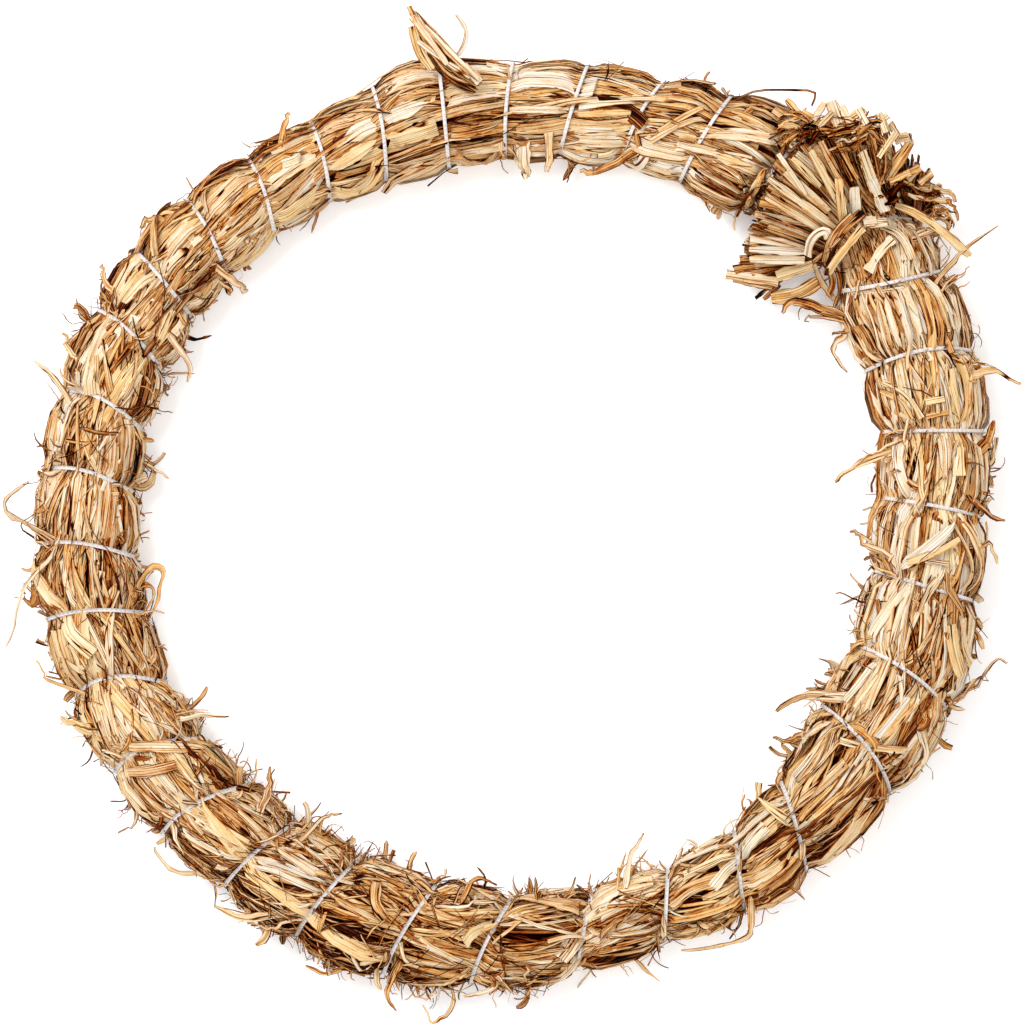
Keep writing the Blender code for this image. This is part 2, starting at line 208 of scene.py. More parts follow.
def in_plan(angle, stand_off, height):
    """Points by ring angle, mm off the centre radius, and mm over the floor."""
    point = RING_CENTRE + outward(angle) * (CENTRE_RADIUS + stand_off)[..., None]
    point[..., 2] = height
    return point


top_point, _ = on_bundle(np.array([FIRMEST_ANGLE]), np.array([FRONT]), np.array([0.0]))
print("the bundle's front at the top of the ring, in mm:", np.round(top_point[0], 1).tolist())

# %% [markdown]
# ## One way to make every blade
#
# A blade, strip, hair or stalk is always the same thing: a line through space, a width at each
# point of it, and a small closed outline that is swept along it. A curve object with a bevel
# could do that for one blade. For thousands it is far quicker to compute all corners at once
# as one numpy array, with an axis for the blades, one for the points along each, and one for
# the corners of the outline. Most blades take the plank, which is nearly flat on top, with
# square edges and a low ridge underneath. Narrow strips take the diamond, and hairs have three
# corners only. Each corner of a blade is shifted up or down by a little that is its own, so
# that no two blades catch the light in quite the same way.

# %% Corners and faces of swept outlines
PLANK = np.array([(-1.0, 0.0), (-0.93, 0.9), (0.0, 1.0), (0.93, 0.9), (1.0, 0.0), (0.0, -0.6)])
DIAMOND = np.array([(-1.0, 0.0), (0.0, 1.0), (1.0, 0.0), (0.0, -1.0)])
THREE = np.array([(-1.0, -0.5), (1.0, -0.5), (0.0, 1.0)])
BLADE_EDGE = 0.95
UNEVENNESS = 0.3
FLOOR_GAP = 0.15


def swept_corners(points, up, width, outline, thickness):
    """Every corner of every blade, and how far each stands aside from its blade's line."""
    forward = unit(np.gradient(points, axis=1))
    across = unit(np.cross(forward, up))
    upright = np.cross(across, forward)
    aside = outline[:, 0] * width[..., None] / 2.0
    off_edge = np.abs(outline[:, 0]) < BLADE_EDGE
    uneven = rng.normal(0, UNEVENNESS, (len(width), 1, len(outline))) * off_edge
    rise = (outline[:, 1] + uneven) * thickness[:, :, None]
    corners = points[:, :, None] + across[:, :, None] * aside[..., None]
    corners = corners + upright[:, :, None] * rise[..., None]
    corners[..., 2] = np.maximum(corners[..., 2], FLOOR_GAP)
    return corners, aside


def swept_faces(count, along, round_):
    """The corner numbers of the faces along all blades, and of the two that close each one."""
    first = (np.arange(count) * along * round_)[:, None, None]
    k, m = np.meshgrid(np.arange(along - 1), np.arange(round_), indexing="ij")
    n = (m + 1) % round_
    quads = [k * round_ + m, (k + 1) * round_ + m, (k + 1) * round_ + n, k * round_ + n]
    quads = (np.stack(quads, axis=-1).reshape(-1, 4)[None] + first).reshape(-1, 4)
    near = np.arange(round_)
    far = near[::-1] + (along - 1) * round_
    ends = (np.stack([near, far])[None] + first).reshape(-1, round_)
    return quads, ends


quads, ends = swept_faces(1, 9, len(PLANK))
print("a blade with nine points along it has", len(quads), "faces along it and", len(ends), "at its ends")

# %% [markdown]
# ## A place for each blade in the bake map
#
# When the part is exported, its materials are painted into one picture, and every face needs a
# place of its own there. Blender can unfold a mesh by itself, but for thousands of blades that
# is slow and wasteful. Here the picture is cut into equal cells, one for each blade. Its sides
# are unrolled into the upper part of the cell, and its two end faces lie below them.

# %% The bake map
SIDES_CORNER = np.array([0.03, 0.22])
SIDES_SIZE = np.array([0.94, 0.72])
END_CENTRES = [(0.25, 0.09), (0.75, 0.09)]
END_RADII = (0.2, 0.06)
CELL_SHAPE = 5.0


def bake_map(count, along, round_):
    """A place in the map for each corner of each face, in the order of the faces."""
    columns = max(1, int(round(math.sqrt(count / CELL_SHAPE))))
    rows = -(-count // columns)
    cell = np.stack([np.arange(count) % columns, np.arange(count) // columns], axis=-1)
    cells = np.array([columns, rows], dtype=float)
    k, m = np.meshgrid(np.arange(along), np.arange(round_ + 1), indexing="ij")
    sides = SIDES_CORNER + SIDES_SIZE * np.stack([k / (along - 1), m / round_], axis=-1)
    sides = (sides + cell[:, None, None]) / cells
    turned = 2 * np.pi * np.arange(round_) / round_
    patch = np.stack([np.cos(turned), np.sin(turned)], axis=-1) * END_RADII
    patches = np.stack([patch + centre for centre in END_CENTRES])
    patches = (patches + cell[:, None, None]) / cells
    k, m = k[:-1, :-1], m[:-1, :-1]
    quad_map = [sides[:, k, m], sides[:, k + 1, m], sides[:, k + 1, m + 1], sides[:, k, m + 1]]
    end_map = np.stack([patches[:, 0], patches[:, 1][:, ::-1]], axis=1)
    return np.concatenate([np.stack(quad_map, axis=3).ravel(), end_map.ravel()])


print("numbers in the map of one blade:", bake_map(1, 9, len(PLANK)).size)

# %% [markdown]
# ## From arrays to an object
#
# A mesh built face by face in Python would take minutes. `foreach_set` hands Blender a whole
# array in one go. Each corner also stores what its material will need. `where` is its place on
# its own blade: millimetres across, millimetres along, and millimetres in from the nearer edge.
# `look` is how pale the blade is, how much painted shade it gets for lying deep in the bundle,
# and a number of its own.

# %% Meshes of many blades
BLADE_STEP = 37.0
LONGEST_START = 500
SHARP_ANGLE = 50


def new_mesh(name, corners, quads, ends, places, where, look):
    mesh = bpy.data.meshes.new(name)
    mesh.vertices.add(corners.size // 3)
    mesh.vertices.foreach_set("co", (corners * MM).astype(np.float32).ravel())
    loops = np.concatenate([quads.ravel(), ends.ravel()]).astype(np.int32)
    mesh.loops.add(len(loops))
    mesh.loops.foreach_set("vertex_index", loops)
    sizes = np.concatenate([np.full(len(quads), 4), np.full(len(ends), ends.shape[1])])
    mesh.polygons.add(len(sizes))
    mesh.polygons.foreach_set("loop_start", (np.cumsum(sizes) - sizes).astype(np.int32))
    baked = mesh.uv_layers.new(name="OFBake")
    baked.uv.foreach_set("vector", places.astype(np.float32))
    for label, values in (("where", where), ("look", look)):
        stored = mesh.attributes.new(label, "FLOAT_VECTOR", "POINT")
        stored.data.foreach_set("vector", values.astype(np.float32).ravel())
    mesh.update(calc_edges=True)
    mesh.validate()
    mesh.shade_smooth()
    return mesh


def swept(name, points, up, width, outline, thickness, tone, depth_shade, finish):
    """One piece of many blades. points and up: (blade, along, 3). width: (blade, along). In mm."""
    count, along = width.shape
    thickness = np.broadcast_to(thickness.reshape(count, -1), (count, along))
    corners, aside = swept_corners(points, up, width, outline, thickness)
    run = np.cumsum(np.linalg.norm(np.diff(points, axis=1), axis=-1), axis=1)
    run = np.concatenate([np.zeros((count, 1)), run], axis=1)
    where = np.empty(corners.shape)
    where[..., 0] = aside + np.arange(count)[:, None, None] * BLADE_STEP
    where[..., 1] = run[..., None] + rng.uniform(0, LONGEST_START, (count, 1, 1))
    where[..., 2] = (1.0 - np.abs(outline[:, 0])) * width[..., None] / 2.0
    look = np.empty(corners.shape)
    look[..., 0] = tone[:, None, None]
    # Painted shade: how much darker the blade is painted for lying deep.
    look[..., 1] = depth_shade[:, None, None]
    look[..., 2] = rng.uniform(0, 1, (count, 1, 1))
    quads, ends = swept_faces(count, along, len(outline))
    places = bake_map(count, along, len(outline))
    mesh = new_mesh(name, corners, quads, ends, places, where, look)
    mesh.set_sharp_from_angle(angle=math.radians(SHARP_ANGLE))
    made = bpy.data.objects.new(name, mesh)
    bpy.context.scene.collection.objects.link(made)
    made.data.materials.append(finish)
    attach(made, "root")
    print(f"{name}: {count} pieces, {2 * len(quads) + len(ends) * (len(outline) - 2)} triangles")
    return made


# %% [markdown]
# ## Shader maths as plain expressions
#
# A material is a network of nodes, and most of its nodes only add, multiply and compare. This
# small class wraps one socket, so that such sums can be written as Python sums: `1 - streak`
# adds a Math node. Anything else comes from `node`, which sets a node up, fills its sockets
# and hands back one of its outputs, wrapped again.

# %% A socket that can be reckoned with
class Wire:
    """A value that varies over a surface."""

    def __init__(self, tree, socket):
        self.tree = tree
        self.socket = socket

    def node(self, kind, settings, sockets, output=0):
        """A new node: its settings, then the values or links of its sockets."""
        made = self.tree.nodes.new(kind)
        for name, setting in settings.items():
            if name == "stops":
                ramp = made.color_ramp
                while len(ramp.elements) < len(setting):
                    ramp.elements.new(0.5)
                for element, (place, colour) in zip(ramp.elements, setting):
                    element.position = place
                    element.color = (*colour, 1.0)
            else:
                setattr(made, name, setting)
        for name, given in sockets.items():
            if isinstance(given, Wire):
                self.tree.links.new(given.socket, made.inputs[name])
            else:
                made.inputs[name].default_value = given
        return Wire(self.tree, made.outputs[output])

    def reckon(self, operation, first, second=0.0):
        return self.node("ShaderNodeMath", {"operation": operation}, {0: first, 1: second})

    def __add__(self, other):
        return self.reckon("ADD", self, other)

    def __sub__(self, other):
        return self.reckon("SUBTRACT", self, other)

    def __mul__(self, other):
        return self.reckon("MULTIPLY", self, other)

    def __rsub__(self, other):
        return self.reckon("SUBTRACT", other, self)

    def __pow__(self, other):
        return self.reckon("POWER", self, other)

    __radd__ = __add__
    __rmul__ = __mul__

    def within(self, low, high):
        """0 below low, 1 above high, and a straight line in between."""
        return self.node("ShaderNodeMapRange", {}, {"Value": self, "From Min": low, "From Max": high})

    def parts(self):
        """The three numbers of a vector."""
        split = self.node("ShaderNodeSeparateXYZ", {}, {"Vector": self})
        return [Wire(self.tree, output) for output in split.socket.node.outputs]

    def joined(self, y, z):
        """A vector of three numbers, this one first."""
        return self.node("ShaderNodeCombineXYZ", {}, {"X": self, "Y": y, "Z": z})

    def noise(self, scale, detail, roughness=0.55):
        sockets = {"Vector": self, "Scale": scale, "Detail": detail, "Roughness": roughness}
        return self.node("ShaderNodeTexNoise", {}, sockets)

    def mixed(self, share, other, blend="MIX"):
        settings = {"data_type": "RGBA", "blend_type": blend}
        return self.node("ShaderNodeMix", settings, {0: share, 6: self, 7: other}, 2)


def new_finish(name):
    """A material, its shader, and a wire to start from."""
    made = bpy.data.materials.new(name)
    made.use_nodes = True
    shader = made.node_tree.nodes["Principled BSDF"]
    return made, shader, Wire(made.node_tree, shader.outputs[0])


def feed(shader, **wires):
    """Link wires to the shader's sockets of the same names."""
    for name, wire in wires.items():
        wire.tree.links.new(wire.socket, shader.inputs[name.replace("_", " ")])


# %% [markdown]
# ## The straw's finish and its painted shade
#
# A straw blade is pale gold where it is clean, and shades through tan to a deep red-brown where
# it is bruised or rotten, and where painted shade darkens it. Fine ribs run along it, some lighter
# and some darker. Its edges get a band of painted shade, which draws a dark outline round each
# blade. One colour ramp holds the whole range from near black to cream, and every cause of a
# change, such as the blade's own tone, its streaks and blotches, and the painted shade of its
# depth, edges and creases, only moves a point along that ramp. The same streaks are pressed in as
# ribs by a Bump node.
#
# The noises are stretched: many grains to a millimetre across the blade, few along it. Thin,
# wandering lines of painted shade, which stand for the dark gaps between blades, lie where a
# stretched noise passes its middle value. The wider of these creases are also pressed in by the
# Bump node.

# %% The straw finish
STRAW_RAMP = [
    (0.0, (0.005, 0.0005, 0.0001)),
    (0.16, (0.034, 0.003, 0.0003)),
    (0.30, (0.20, 0.027, 0.002)),
    (0.44, (0.485, 0.180, 0.034)),
    (0.60, (0.66, 0.405, 0.178)),
    (0.80, (0.745, 0.595, 0.395)),
    (1.0, (0.80, 0.72, 0.60)),
]
TINTS = [
    (0.1, (1.0, 0.87, 0.62)),
    (0.4, (1.0, 0.97, 0.90)),
    (0.75, (1.0, 1.0, 1.0)),
    (0.95, (0.97, 0.95, 0.98)),
]
RIB_HEIGHT = 0.00045


def straw_finish(name, contrast, gloss):
    made, shader, start = new_finish(name)
    where = start.node("ShaderNodeAttribute", {"attribute_name": "where"}, {}, "Vector")
    look = start.node("ShaderNodeAttribute", {"attribute_name": "look"}, {}, "Vector")
    side, run, rim = where.parts()
    tone, depth_shade, own = look.parts()
    streaks = (side * 1.7).joined(run * 0.03, own * 9).noise(1.0, 3.0, 0.6)
    ribs = (side * 4.5).joined(run * 0.08, own * 9).noise(1.0, 2.0)
    # Painted shade: thin dark lines for the gaps between blades; the wider set is also a dent in the bump.
    shaded_crease_noise = (side * 0.85).joined(run * 0.022, own * 9 + 4).noise(1.0, 0.0)
    shaded_crease = start.reckon("ABSOLUTE", shaded_crease_noise - 0.5).within(0.026, 0.004)
    fine_shade_line_noise = (side * 2.5).joined(run * 0.03, own * 9 + 7).noise(1.0, 0.0)
    fine_shade_line = start.reckon("ABSOLUTE", fine_shade_line_noise - 0.5).within(0.06, 0.0)
    blotches = (side * 0.25).joined(run * 0.13, own * 9).noise(1.0, 3.0, 0.65)
    specks = (side * 1.3).joined(run * 0.9, own * 9).noise(1.0, 1.0).within(0.66, 0.74)
    # Painted shade: a dark band along each edge draws the blade's outline.
    edge_shade = rim.within(0.30, 0.0)
    place = tone + (streaks - 0.5) * (1.3 * contrast) + (ribs - 0.5) * (0.75 * contrast)
    # Painted shade: depth and the edge band move the point down the ramp, towards dark brown.
    place = place + (blotches - 0.5) * 0.65 - depth_shade - edge_shade * 0.44
    place = place - specks * 0.20 - shaded_crease * (0.72 * contrast) - fine_shade_line * (0.15 * contrast)
    colour = start.node("ShaderNodeValToRGB", {"stops": STRAW_RAMP}, {"Fac": place})
    tint = start.node("ShaderNodeValToRGB", {"stops": TINTS}, {"Fac": own})
    height = streaks + ribs * 0.7 - shaded_crease * 0.5
    bump = start.node("ShaderNodeBump", {}, {"Strength": 1.0, "Distance": RIB_HEIGHT, "Height": height})
    tinted = colour.mixed(1.0, tint, "MULTIPLY")
    feed(shader, Base_Color=tinted, Roughness=0.5 + (1 - streaks) * 0.3, Normal=bump)
    shader.inputs["Specular IOR Level"].default_value = gloss
    return made


blade_finish = straw_finish("straw_blade", 1.0, 0.05)
fibre_finish = straw_finish("straw_fibre", 0.7, 0.0)
print("nodes in the blades' finish:", len(blade_finish.node_tree.nodes))

# %% [markdown]
# ## The core
#
# Between the blades of the real ring you look into dark straw, never through it. A smooth tube
# just under the blades stands for all the straw that is only seen as darkness, and its colour is
# painted shade: the straw there lies in the shade of the blades above it. It is a grid of
# points on the bundle, a little more than two millimetres in, closed on itself both ways.

# %% The dark core
CORE_LIFT = -2.3
CORE_AROUND = 28
CORE_ALONG = 420
# Painted shade: the core's look darkens it to near black-brown.
CORE_LOOK = (0.42, 0.22, 0.3)
MAP_MARGIN = 0.004


def build_core():
    k, m = np.meshgrid(np.arange(CORE_ALONG), np.arange(CORE_AROUND), indexing="ij")
    lift = np.full(k.shape, CORE_LIFT)
    points, _ = on_bundle(k * 360.0 / CORE_ALONG, m * 360.0 / CORE_AROUND, lift)
    points[..., 2] = np.maximum(points[..., 2], FLOOR_GAP)
    ahead, aside = (k + 1) % CORE_ALONG, (m + 1) % CORE_AROUND
    quads = [row * CORE_AROUND + column for row, column in ((k, m), (ahead, m), (ahead, aside), (k, aside))]
    quads = np.stack(quads, axis=-1).reshape(-1, 4)
    places = [np.stack([k + i, m + j], axis=-1) for i, j in ((0, 0), (1, 0), (1, 1), (0, 1))]
    places = np.stack(places, axis=2) / (CORE_ALONG, CORE_AROUND)
    places = MAP_MARGIN + (1.0 - 2.0 * MAP_MARGIN) * places.ravel()
    where = np.stack([m * 3.4, k * 2.0, np.full(k.shape, 2.0)], axis=-1)
    look = np.full(where.shape, CORE_LOOK)
    mesh = new_mesh("shaded_straw_core", points, quads, np.empty((0, 4), dtype=int), places, where, look)
    core = bpy.data.objects.new("shaded_straw_core", mesh)
    bpy.context.scene.collection.objects.link(core)
    core.data.materials.append(fibre_finish)
    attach(core, "root")
    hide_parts("straw_ring")
    print("core faces:", len(mesh.polygons))
    return core


core = build_core()

# %% [markdown]
# ## What differs round the ring
#
# The top of the ring is laid with wide, smooth, pale blades. Further down on the left it gets
# finer and browner, and the bottom left is shaggy with fibres. This table holds that: how much
# of the straw is fine, how pale it is, and how much it sticks out.
#
# The columns are the ring angle, how fine the straw is, how pale and how shaggy.

# %% The straw's character round the ring
CHARACTER = np.array([
    (0, 0.26, 0.745, 0.50), (20, 0.20, 0.765, 0.35), (40, 0.28, 0.725, 0.45), (60, 0.22, 0.72, 0.30),
    (80, 0.10, 0.74, 0.16), (110, 0.04, 0.735, 0.10), (130, 0.15, 0.695, 0.30), (150, 0.32, 0.675, 0.50),
    (180, 0.32, 0.685, 0.55), (210, 0.34, 0.695, 0.60), (240, 0.64, 0.70, 0.90), (260, 0.54, 0.705, 0.75),
    (285, 0.35, 0.725, 0.50), (310, 0.24, 0.725, 0.40), (335, 0.36, 0.69, 0.75), (350, 0.28, 0.72, 0.55),
])
print("palest at", CHARACTER[CHARACTER[:, 2].argmax(), 0], "degrees")

# %% [markdown]
# ## Laying straw in locks
#
# Straw doesn't lie one blade by one: it comes in locks, a few blades side by side that share a
# direction. So each lock is thrown at random over the bundle, and its blades are set off
# sideways from its middle. A blade dips under the thread, or now and then runs over it. The
# blades are gathered there: each point moves a little towards the nearest turn. Most ends dive
# in between their neighbours, so that no end shows, and only a few lift off and curl.

# %% Lines of straw over the bundle
UNDER_THREAD = -0.2
OVER_THREAD = 2.0
GATHERING = 0.6
HIGHEST_END = 5.0


def laid(angle, section, length, heading, bend, layer, over, end_lift, along):
    """Lines of straw that lie along the bundle, with the directions off its surface."""
    share = np.linspace(-0.5, 0.5, along)
    wave = rng.uniform(0, 6.3, (len(angle), 1))
    way = heading[:, None] + bend[:, None] * share + 0.07 * np.sin(share * 9.0 + wave)
    step = length[:, None] / (along - 1)
    run = np.cumsum(np.cos(way), axis=1) * step
    drift = np.cumsum(np.sin(way), axis=1) * step
    run -= run[:, along // 2, None]
    drift -= drift[:, along // 2, None]
    spread = (bundle_radius(angle) + half_width(angle) * np.cos(np.radians(section)))[:, None]
    angles = angle[:, None] + np.degrees(run / spread)
    sections = section[:, None] + np.degrees(drift / (half_width(angle)[:, None] * 0.95))
    past, pitch = past_thread(angles, sections)
    drawn_together = GATHERING * softness(angles) * pitch / (2 * np.pi)
    angles = angles - drawn_together * np.sin(2 * np.pi * past / pitch)
    drawn = np.minimum(1.0, pinch(angles, sections) * 1.25)
    lift = layer[:, None] * (1.0 - drawn) + over[:, None] * drawn
    tip = np.clip(np.abs(share) - 0.2, 0.0, 1.0) / 0.3
    ends = np.where(share < 0, end_lift[:, :1], end_lift[:, 1:])
    points, up = on_bundle(angles, sections, lift + ends * tip ** 2)
    return points, up, drawn


print("over the thread a blade lies", OVER_THREAD - UNDER_THREAD, "mm higher than under it")

# %% [markdown]
# ## Widths, tilt and places
#
# A real blade swells and narrows along its length, has nicks, and ends torn to a point or cut
# square. It also leans to one side, so that it catches the light otherwise than its neighbour.
# Where the straw is fine, more of the narrow pieces are laid, and elsewhere more of the wide
# ones: each place drawn at random is kept with a chance that follows the table.

# %% Widths, tilt and places
SWELL = 0.12
NICKS = 0.10
TORN_FROM = 0.62
FRONT_SECTIONS = (-15, 195)
BACK_SECTIONS = (195, 345)


def blade_widths(width, ragged, along):
    """Widths that swell a little and narrow towards torn ends."""
    share = np.abs(np.linspace(-1.0, 1.0, along))
    count = len(width)
    swell = 1.0 + SWELL * np.sin(rng.uniform(0, 6.3, (count, 1)) + rng.uniform(2, 6, (count, 1)) * share)
    torn = np.clip((share - TORN_FROM) / (1.0 - TORN_FROM), 0.0, 1.0)
    nicked = 1.0 - np.abs(rng.normal(0, NICKS, (count, along)))
    return width[:, None] * swell * nicked * (1.0 - ragged[:, None] * torn)


def tilted(up, points, roll):
    """Up directions turned about the blade's own line by an angle."""
    forward = unit(np.gradient(points, axis=1))
    across = unit(np.cross(forward, up))
    return up * np.cos(roll)[..., None] + across * np.sin(roll)[..., None]


def places(count, front_share, fine):
    """Ring and section angles, denser where the straw is as fine as wanted."""
    angle = rng.uniform(0, 360, count * 3)
    share = round_table(CHARACTER, angle)[:, 0]
    chance = share if fine else 1.15 - share
    angle = angle[rng.uniform(0, 1, count * 3) < chance][:count]
    count = len(angle)
    front = rng.uniform(0, 1, count) < front_share
    section = np.where(front, rng.uniform(*FRONT_SECTIONS, count), rng.uniform(*BACK_SECTIONS, count))
    return angle, section


print("blades seen from the front lie between section angles", FRONT_SECTIONS)

# %% [markdown]
# ## A layer of locks
#
# One function lays a whole layer. It first draws the locks, and what the blades of a lock
# share: place, direction, length, bend and tone. Then each blade gets its own small departures
# from them. How high it lies in the layer also sets how much painted shade darkens its colour,
# since a deep blade is in the shadow of those above it.

# %% A layer of locks
def blade_layer(name, locks, blades, front_share, fine, layer, width, length, spread, depth_shade, tone,
                over_share, loose_share, finish, along, outline=PLANK):
    """A layer of locks, each of a few blades side by side."""
    angle, section = places(locks, front_share, fine)
    heading = rng.normal(0, spread, len(angle))
    size = rng.uniform(0, 1, len(angle)) ** 1.3
    paler = rng.normal(0, 0.07, len(angle))
    long = rng.uniform(*length, len(angle))
    bend = rng.normal(0, 0.30, len(angle))
    angle, section, heading, size, paler, long, bend = [
        np.repeat(values, blades) for values in (angle, section, heading, size, paler, long, bend)]
    count = len(angle)
    fineness, pale, shag = round_table(CHARACTER, angle).T
    heading *= 0.4 + 1.3 * shag
    bend *= 0.4 + shag
    wide = width[0] + (width[1] - width[0]) * size * 1.6 * (1.0 - fineness) * rng.uniform(0.5, 1.25, count)
    offset = (np.tile(np.arange(blades), count // blades) - (blades - 1) / 2.0) * wide * 1.15
    offset += rng.normal(0, 0.3, count) * wide
    slide = rng.normal(0, 0.15, count) * long
    spread_here = bundle_radius(angle) + half_width(angle) * np.cos(np.radians(section))
    angle = angle + np.degrees((slide * np.cos(heading) - offset * np.sin(heading)) / spread_here)
    section = section + np.degrees((slide * np.sin(heading) + offset * np.cos(heading)) / half_width(angle))
    heading = heading + rng.normal(0, 0.10, count)
    long = long * rng.uniform(0.75, 1.15, count)
    high = rng.uniform(0, 1, count)
    lift = layer[0] + (layer[1] - layer[0]) * high
    # Painted shade: the lower a blade lies in the layer, the darker it is painted.
    shade = depth_shade[1] + (depth_shade[0] - depth_shade[1]) * high
    over = np.where(rng.uniform(0, 1, count) < over_share, OVER_THREAD, np.minimum(lift, UNDER_THREAD))
    hidden = np.clip(-np.sin(np.radians(section)) + 0.2, 0.0, 1.0)
    loose_chance = loose_share * (0.4 + shag) * (1.0 - 0.8 * hidden)
    loose = rng.uniform(0, 1, (count, 2)) < loose_chance[:, None]
    end_lift = np.where(loose, rng.exponential(1.6, (count, 2)) + 0.4, -rng.uniform(0.6, 1.6, (count, 2)))
    end_lift = np.minimum(end_lift, HIGHEST_END)
    points, up, drawn = laid(angle, section, long, heading, bend, lift, over, end_lift, along)
    turn = np.linspace(-1, 1, along) * rng.normal(0, 0.3, (count, 1)) * (0.3 + shag[:, None])
    up = tilted(up, points, rng.normal(0, 0.22, (count, 1)) + turn)
    tones = pale + tone + paler + rng.normal(0, 0.11, count)
    ragged = rng.choice([0.1, 0.5, 0.9], count, p=[0.4, 0.3, 0.3])
    thickness = (0.12 + 0.05 * wide * rng.uniform(0.1, 1.6, count))[:, None] * (1.0 - 0.6 * drawn)
    widths = blade_widths(wide, ragged, along)
    made = swept(name, points, up, widths, outline, thickness, tones, shade, finish)
    return made


# %% [markdown]
# ## Three layers of blades, then strips and hairs
#
# Dark, deep blades go on first and pale ones last. The pale ones leave gaps, and what shows
# in a gap is a deeper blade whose colour is darkened with painted shade, as if in the shade of
# its neighbours: those dark lines are most of what makes straw look like straw. Narrow strips
# and single hairs come last, and cross the rest more freely.

# %% Lay the straw
blade_layer("deep_blades", locks=150, blades=5, front_share=0.66, fine=False, layer=(-2.0, -1.2),
            width=(1.2, 4.2), length=(40, 80), spread=0.16, depth_shade=(0.48, 0.85), tone=-0.06,
            over_share=0.0, loose_share=0.0, finish=fibre_finish, along=10)
blade_layer("middle_blades", locks=170, blades=5, front_share=0.70, fine=False, layer=(-1.2, -0.3),
            width=(1.2, 5.2), length=(36, 80), spread=0.22, depth_shade=(0.08, 0.44), tone=0.0,
            over_share=0.0, loose_share=0.04, finish=blade_finish, along=13)
blade_layer("top_blades", locks=145, blades=5, front_share=0.78, fine=False, layer=(-0.5, 0.8),
            width=(1.3, 6.8), length=(40, 88), spread=0.17, depth_shade=(-0.06, 0.32), tone=0.075,
            over_share=0.012, loose_share=0.08, finish=blade_finish, along=15)
blade_layer("deep_strips", locks=145, blades=6, front_share=0.66, fine=True, layer=(-1.6, -0.4),
            width=(0.7, 2.6), length=(34, 74), spread=0.22, depth_shade=(0.2, 0.62), tone=0.0,
            over_share=0.0, loose_share=0.04, finish=fibre_finish, along=12, outline=DIAMOND)
blade_layer("strips", locks=130, blades=6, front_share=0.80, fine=True, layer=(-0.5, 0.8),
            width=(0.8, 3.6), length=(30, 70), spread=0.24, depth_shade=(-0.04, 0.34), tone=0.075,
            over_share=0.015, loose_share=0.12, finish=blade_finish, along=13)
blade_layer("shreds", locks=500, blades=1, front_share=0.85, fine=True, layer=(0.5, 1.3),
            width=(0.6, 2.6), length=(5, 14), spread=0.6, depth_shade=(-0.05, 0.16), tone=0.02,
            over_share=0.25, loose_share=0.25, finish=blade_finish, along=6)
blade_layer("hairs", locks=600, blades=2, front_share=0.78, fine=True, layer=(-0.2, 1.1),
            width=(0.25, 0.55), length=(12, 36), spread=0.5, depth_shade=(0.0, 0.3), tone=0.06,
            over_share=0.10, loose_share=0.4, finish=fibre_finish, along=10, outline=THREE)

# %% [markdown]
# ## A smooth line through a few points
#
# Whatever is placed one by one runs through a few points only. A cubic curve joins them, and
# leaves each point in the direction of its neighbours, so that no corner shows. Straw that has
# been handled is never that smooth, so a second function gives lines a few small kinks.

# %% Smooth lines and kinks
KINK_CHANCE = 0.35
TIP_HELD = 0.75


def smooth_line(points, count):
    """A smooth curve through points: a cubic that leaves each one towards its neighbours."""
    points = np.asarray(points)
    ends = np.vstack([2 * points[0] - points[1], points, 2 * points[-1] - points[-2]])
    place = np.linspace(0, len(points) - 1, count)
    i = np.minimum(place.astype(int), len(points) - 2)
    t = (place - i)[:, None]
    a, b, c, d = ends[i], ends[i + 1], ends[i + 2], ends[i + 3]
    bent = (2 * a - 5 * b + 4 * c - d) * t ** 2 + (3 * b - a - 3 * c + d) * t ** 3
    return 0.5 * (2 * b + (c - a) * t + bent)


def kinked(lines, amount, share):
    """Lines with a few small kinks on the way, whose roots and tips stay near their places."""
    count, steps = lines.shape[:2]
    jolts = rng.normal(0, amount, lines.shape) * (rng.uniform(0, 1, (count, steps, 1)) < KINK_CHANCE)
    wandering = np.cumsum(jolts, axis=1)
    wandering -= wandering[:, :1]
    wandering -= TIP_HELD * wandering[:, -1:] * np.linspace(0, 1, steps)[:, None]
    return lines + wandering * share[None, :, None]


print("half way through three points:", smooth_line([(0, 0), (1, 1), (2, 0)], 5)[2])

# %% [markdown]
# ## The thread
#
# The thread is a soft two-ply yarn, a good millimetre thick. Its line is the winding itself:
# for every fraction of a turn there is a ring angle and a section angle. A round outline of ten
# corners is swept along it. Its twist is too fine for the mesh, so the finish draws it as
# slanting bands, from the distance along the thread and the way round it.

# %% The wound thread
THREAD_WIDTH = 1.2
THREAD_LIFT = 0.8
THREAD_CORNERS = 10
STEPS_PER_TURN = 56
THREAD_END = 0.45


def thread_finish():
    made, shader, start = new_finish("thread_yarn")
    where = start.node("ShaderNodeAttribute", {"attribute_name": "where"}, {}, "Vector")
    side, run, rim = where.parts()
    bands = start.reckon("SINE", run * 3.9 + rim * 5.0) * 0.5 + 0.5
    fuzz = (side * 3.0).joined(run * 2.2, rim).noise(1.0, 3.0)
    grime = (side * 0.0 + 1.0).joined(run * 0.05, 0.0).noise(1.0, 2.0)
    place = bands * 0.12 + fuzz * 0.45 + grime * 0.5
    stops = [(0.25, (0.27, 0.22, 0.20)), (0.5, (0.60, 0.56, 0.54)), (0.8, (0.82, 0.80, 0.79))]
    colour = start.node("ShaderNodeValToRGB", {"stops": stops}, {"Fac": place})
    height = bands * 0.5 + fuzz
    bump = start.node("ShaderNodeBump", {}, {"Strength": 0.5, "Distance": 0.0002, "Height": height})
    feed(shader, Base_Color=colour, Normal=bump)
    shader.inputs["Roughness"].default_value = 0.85
    return made


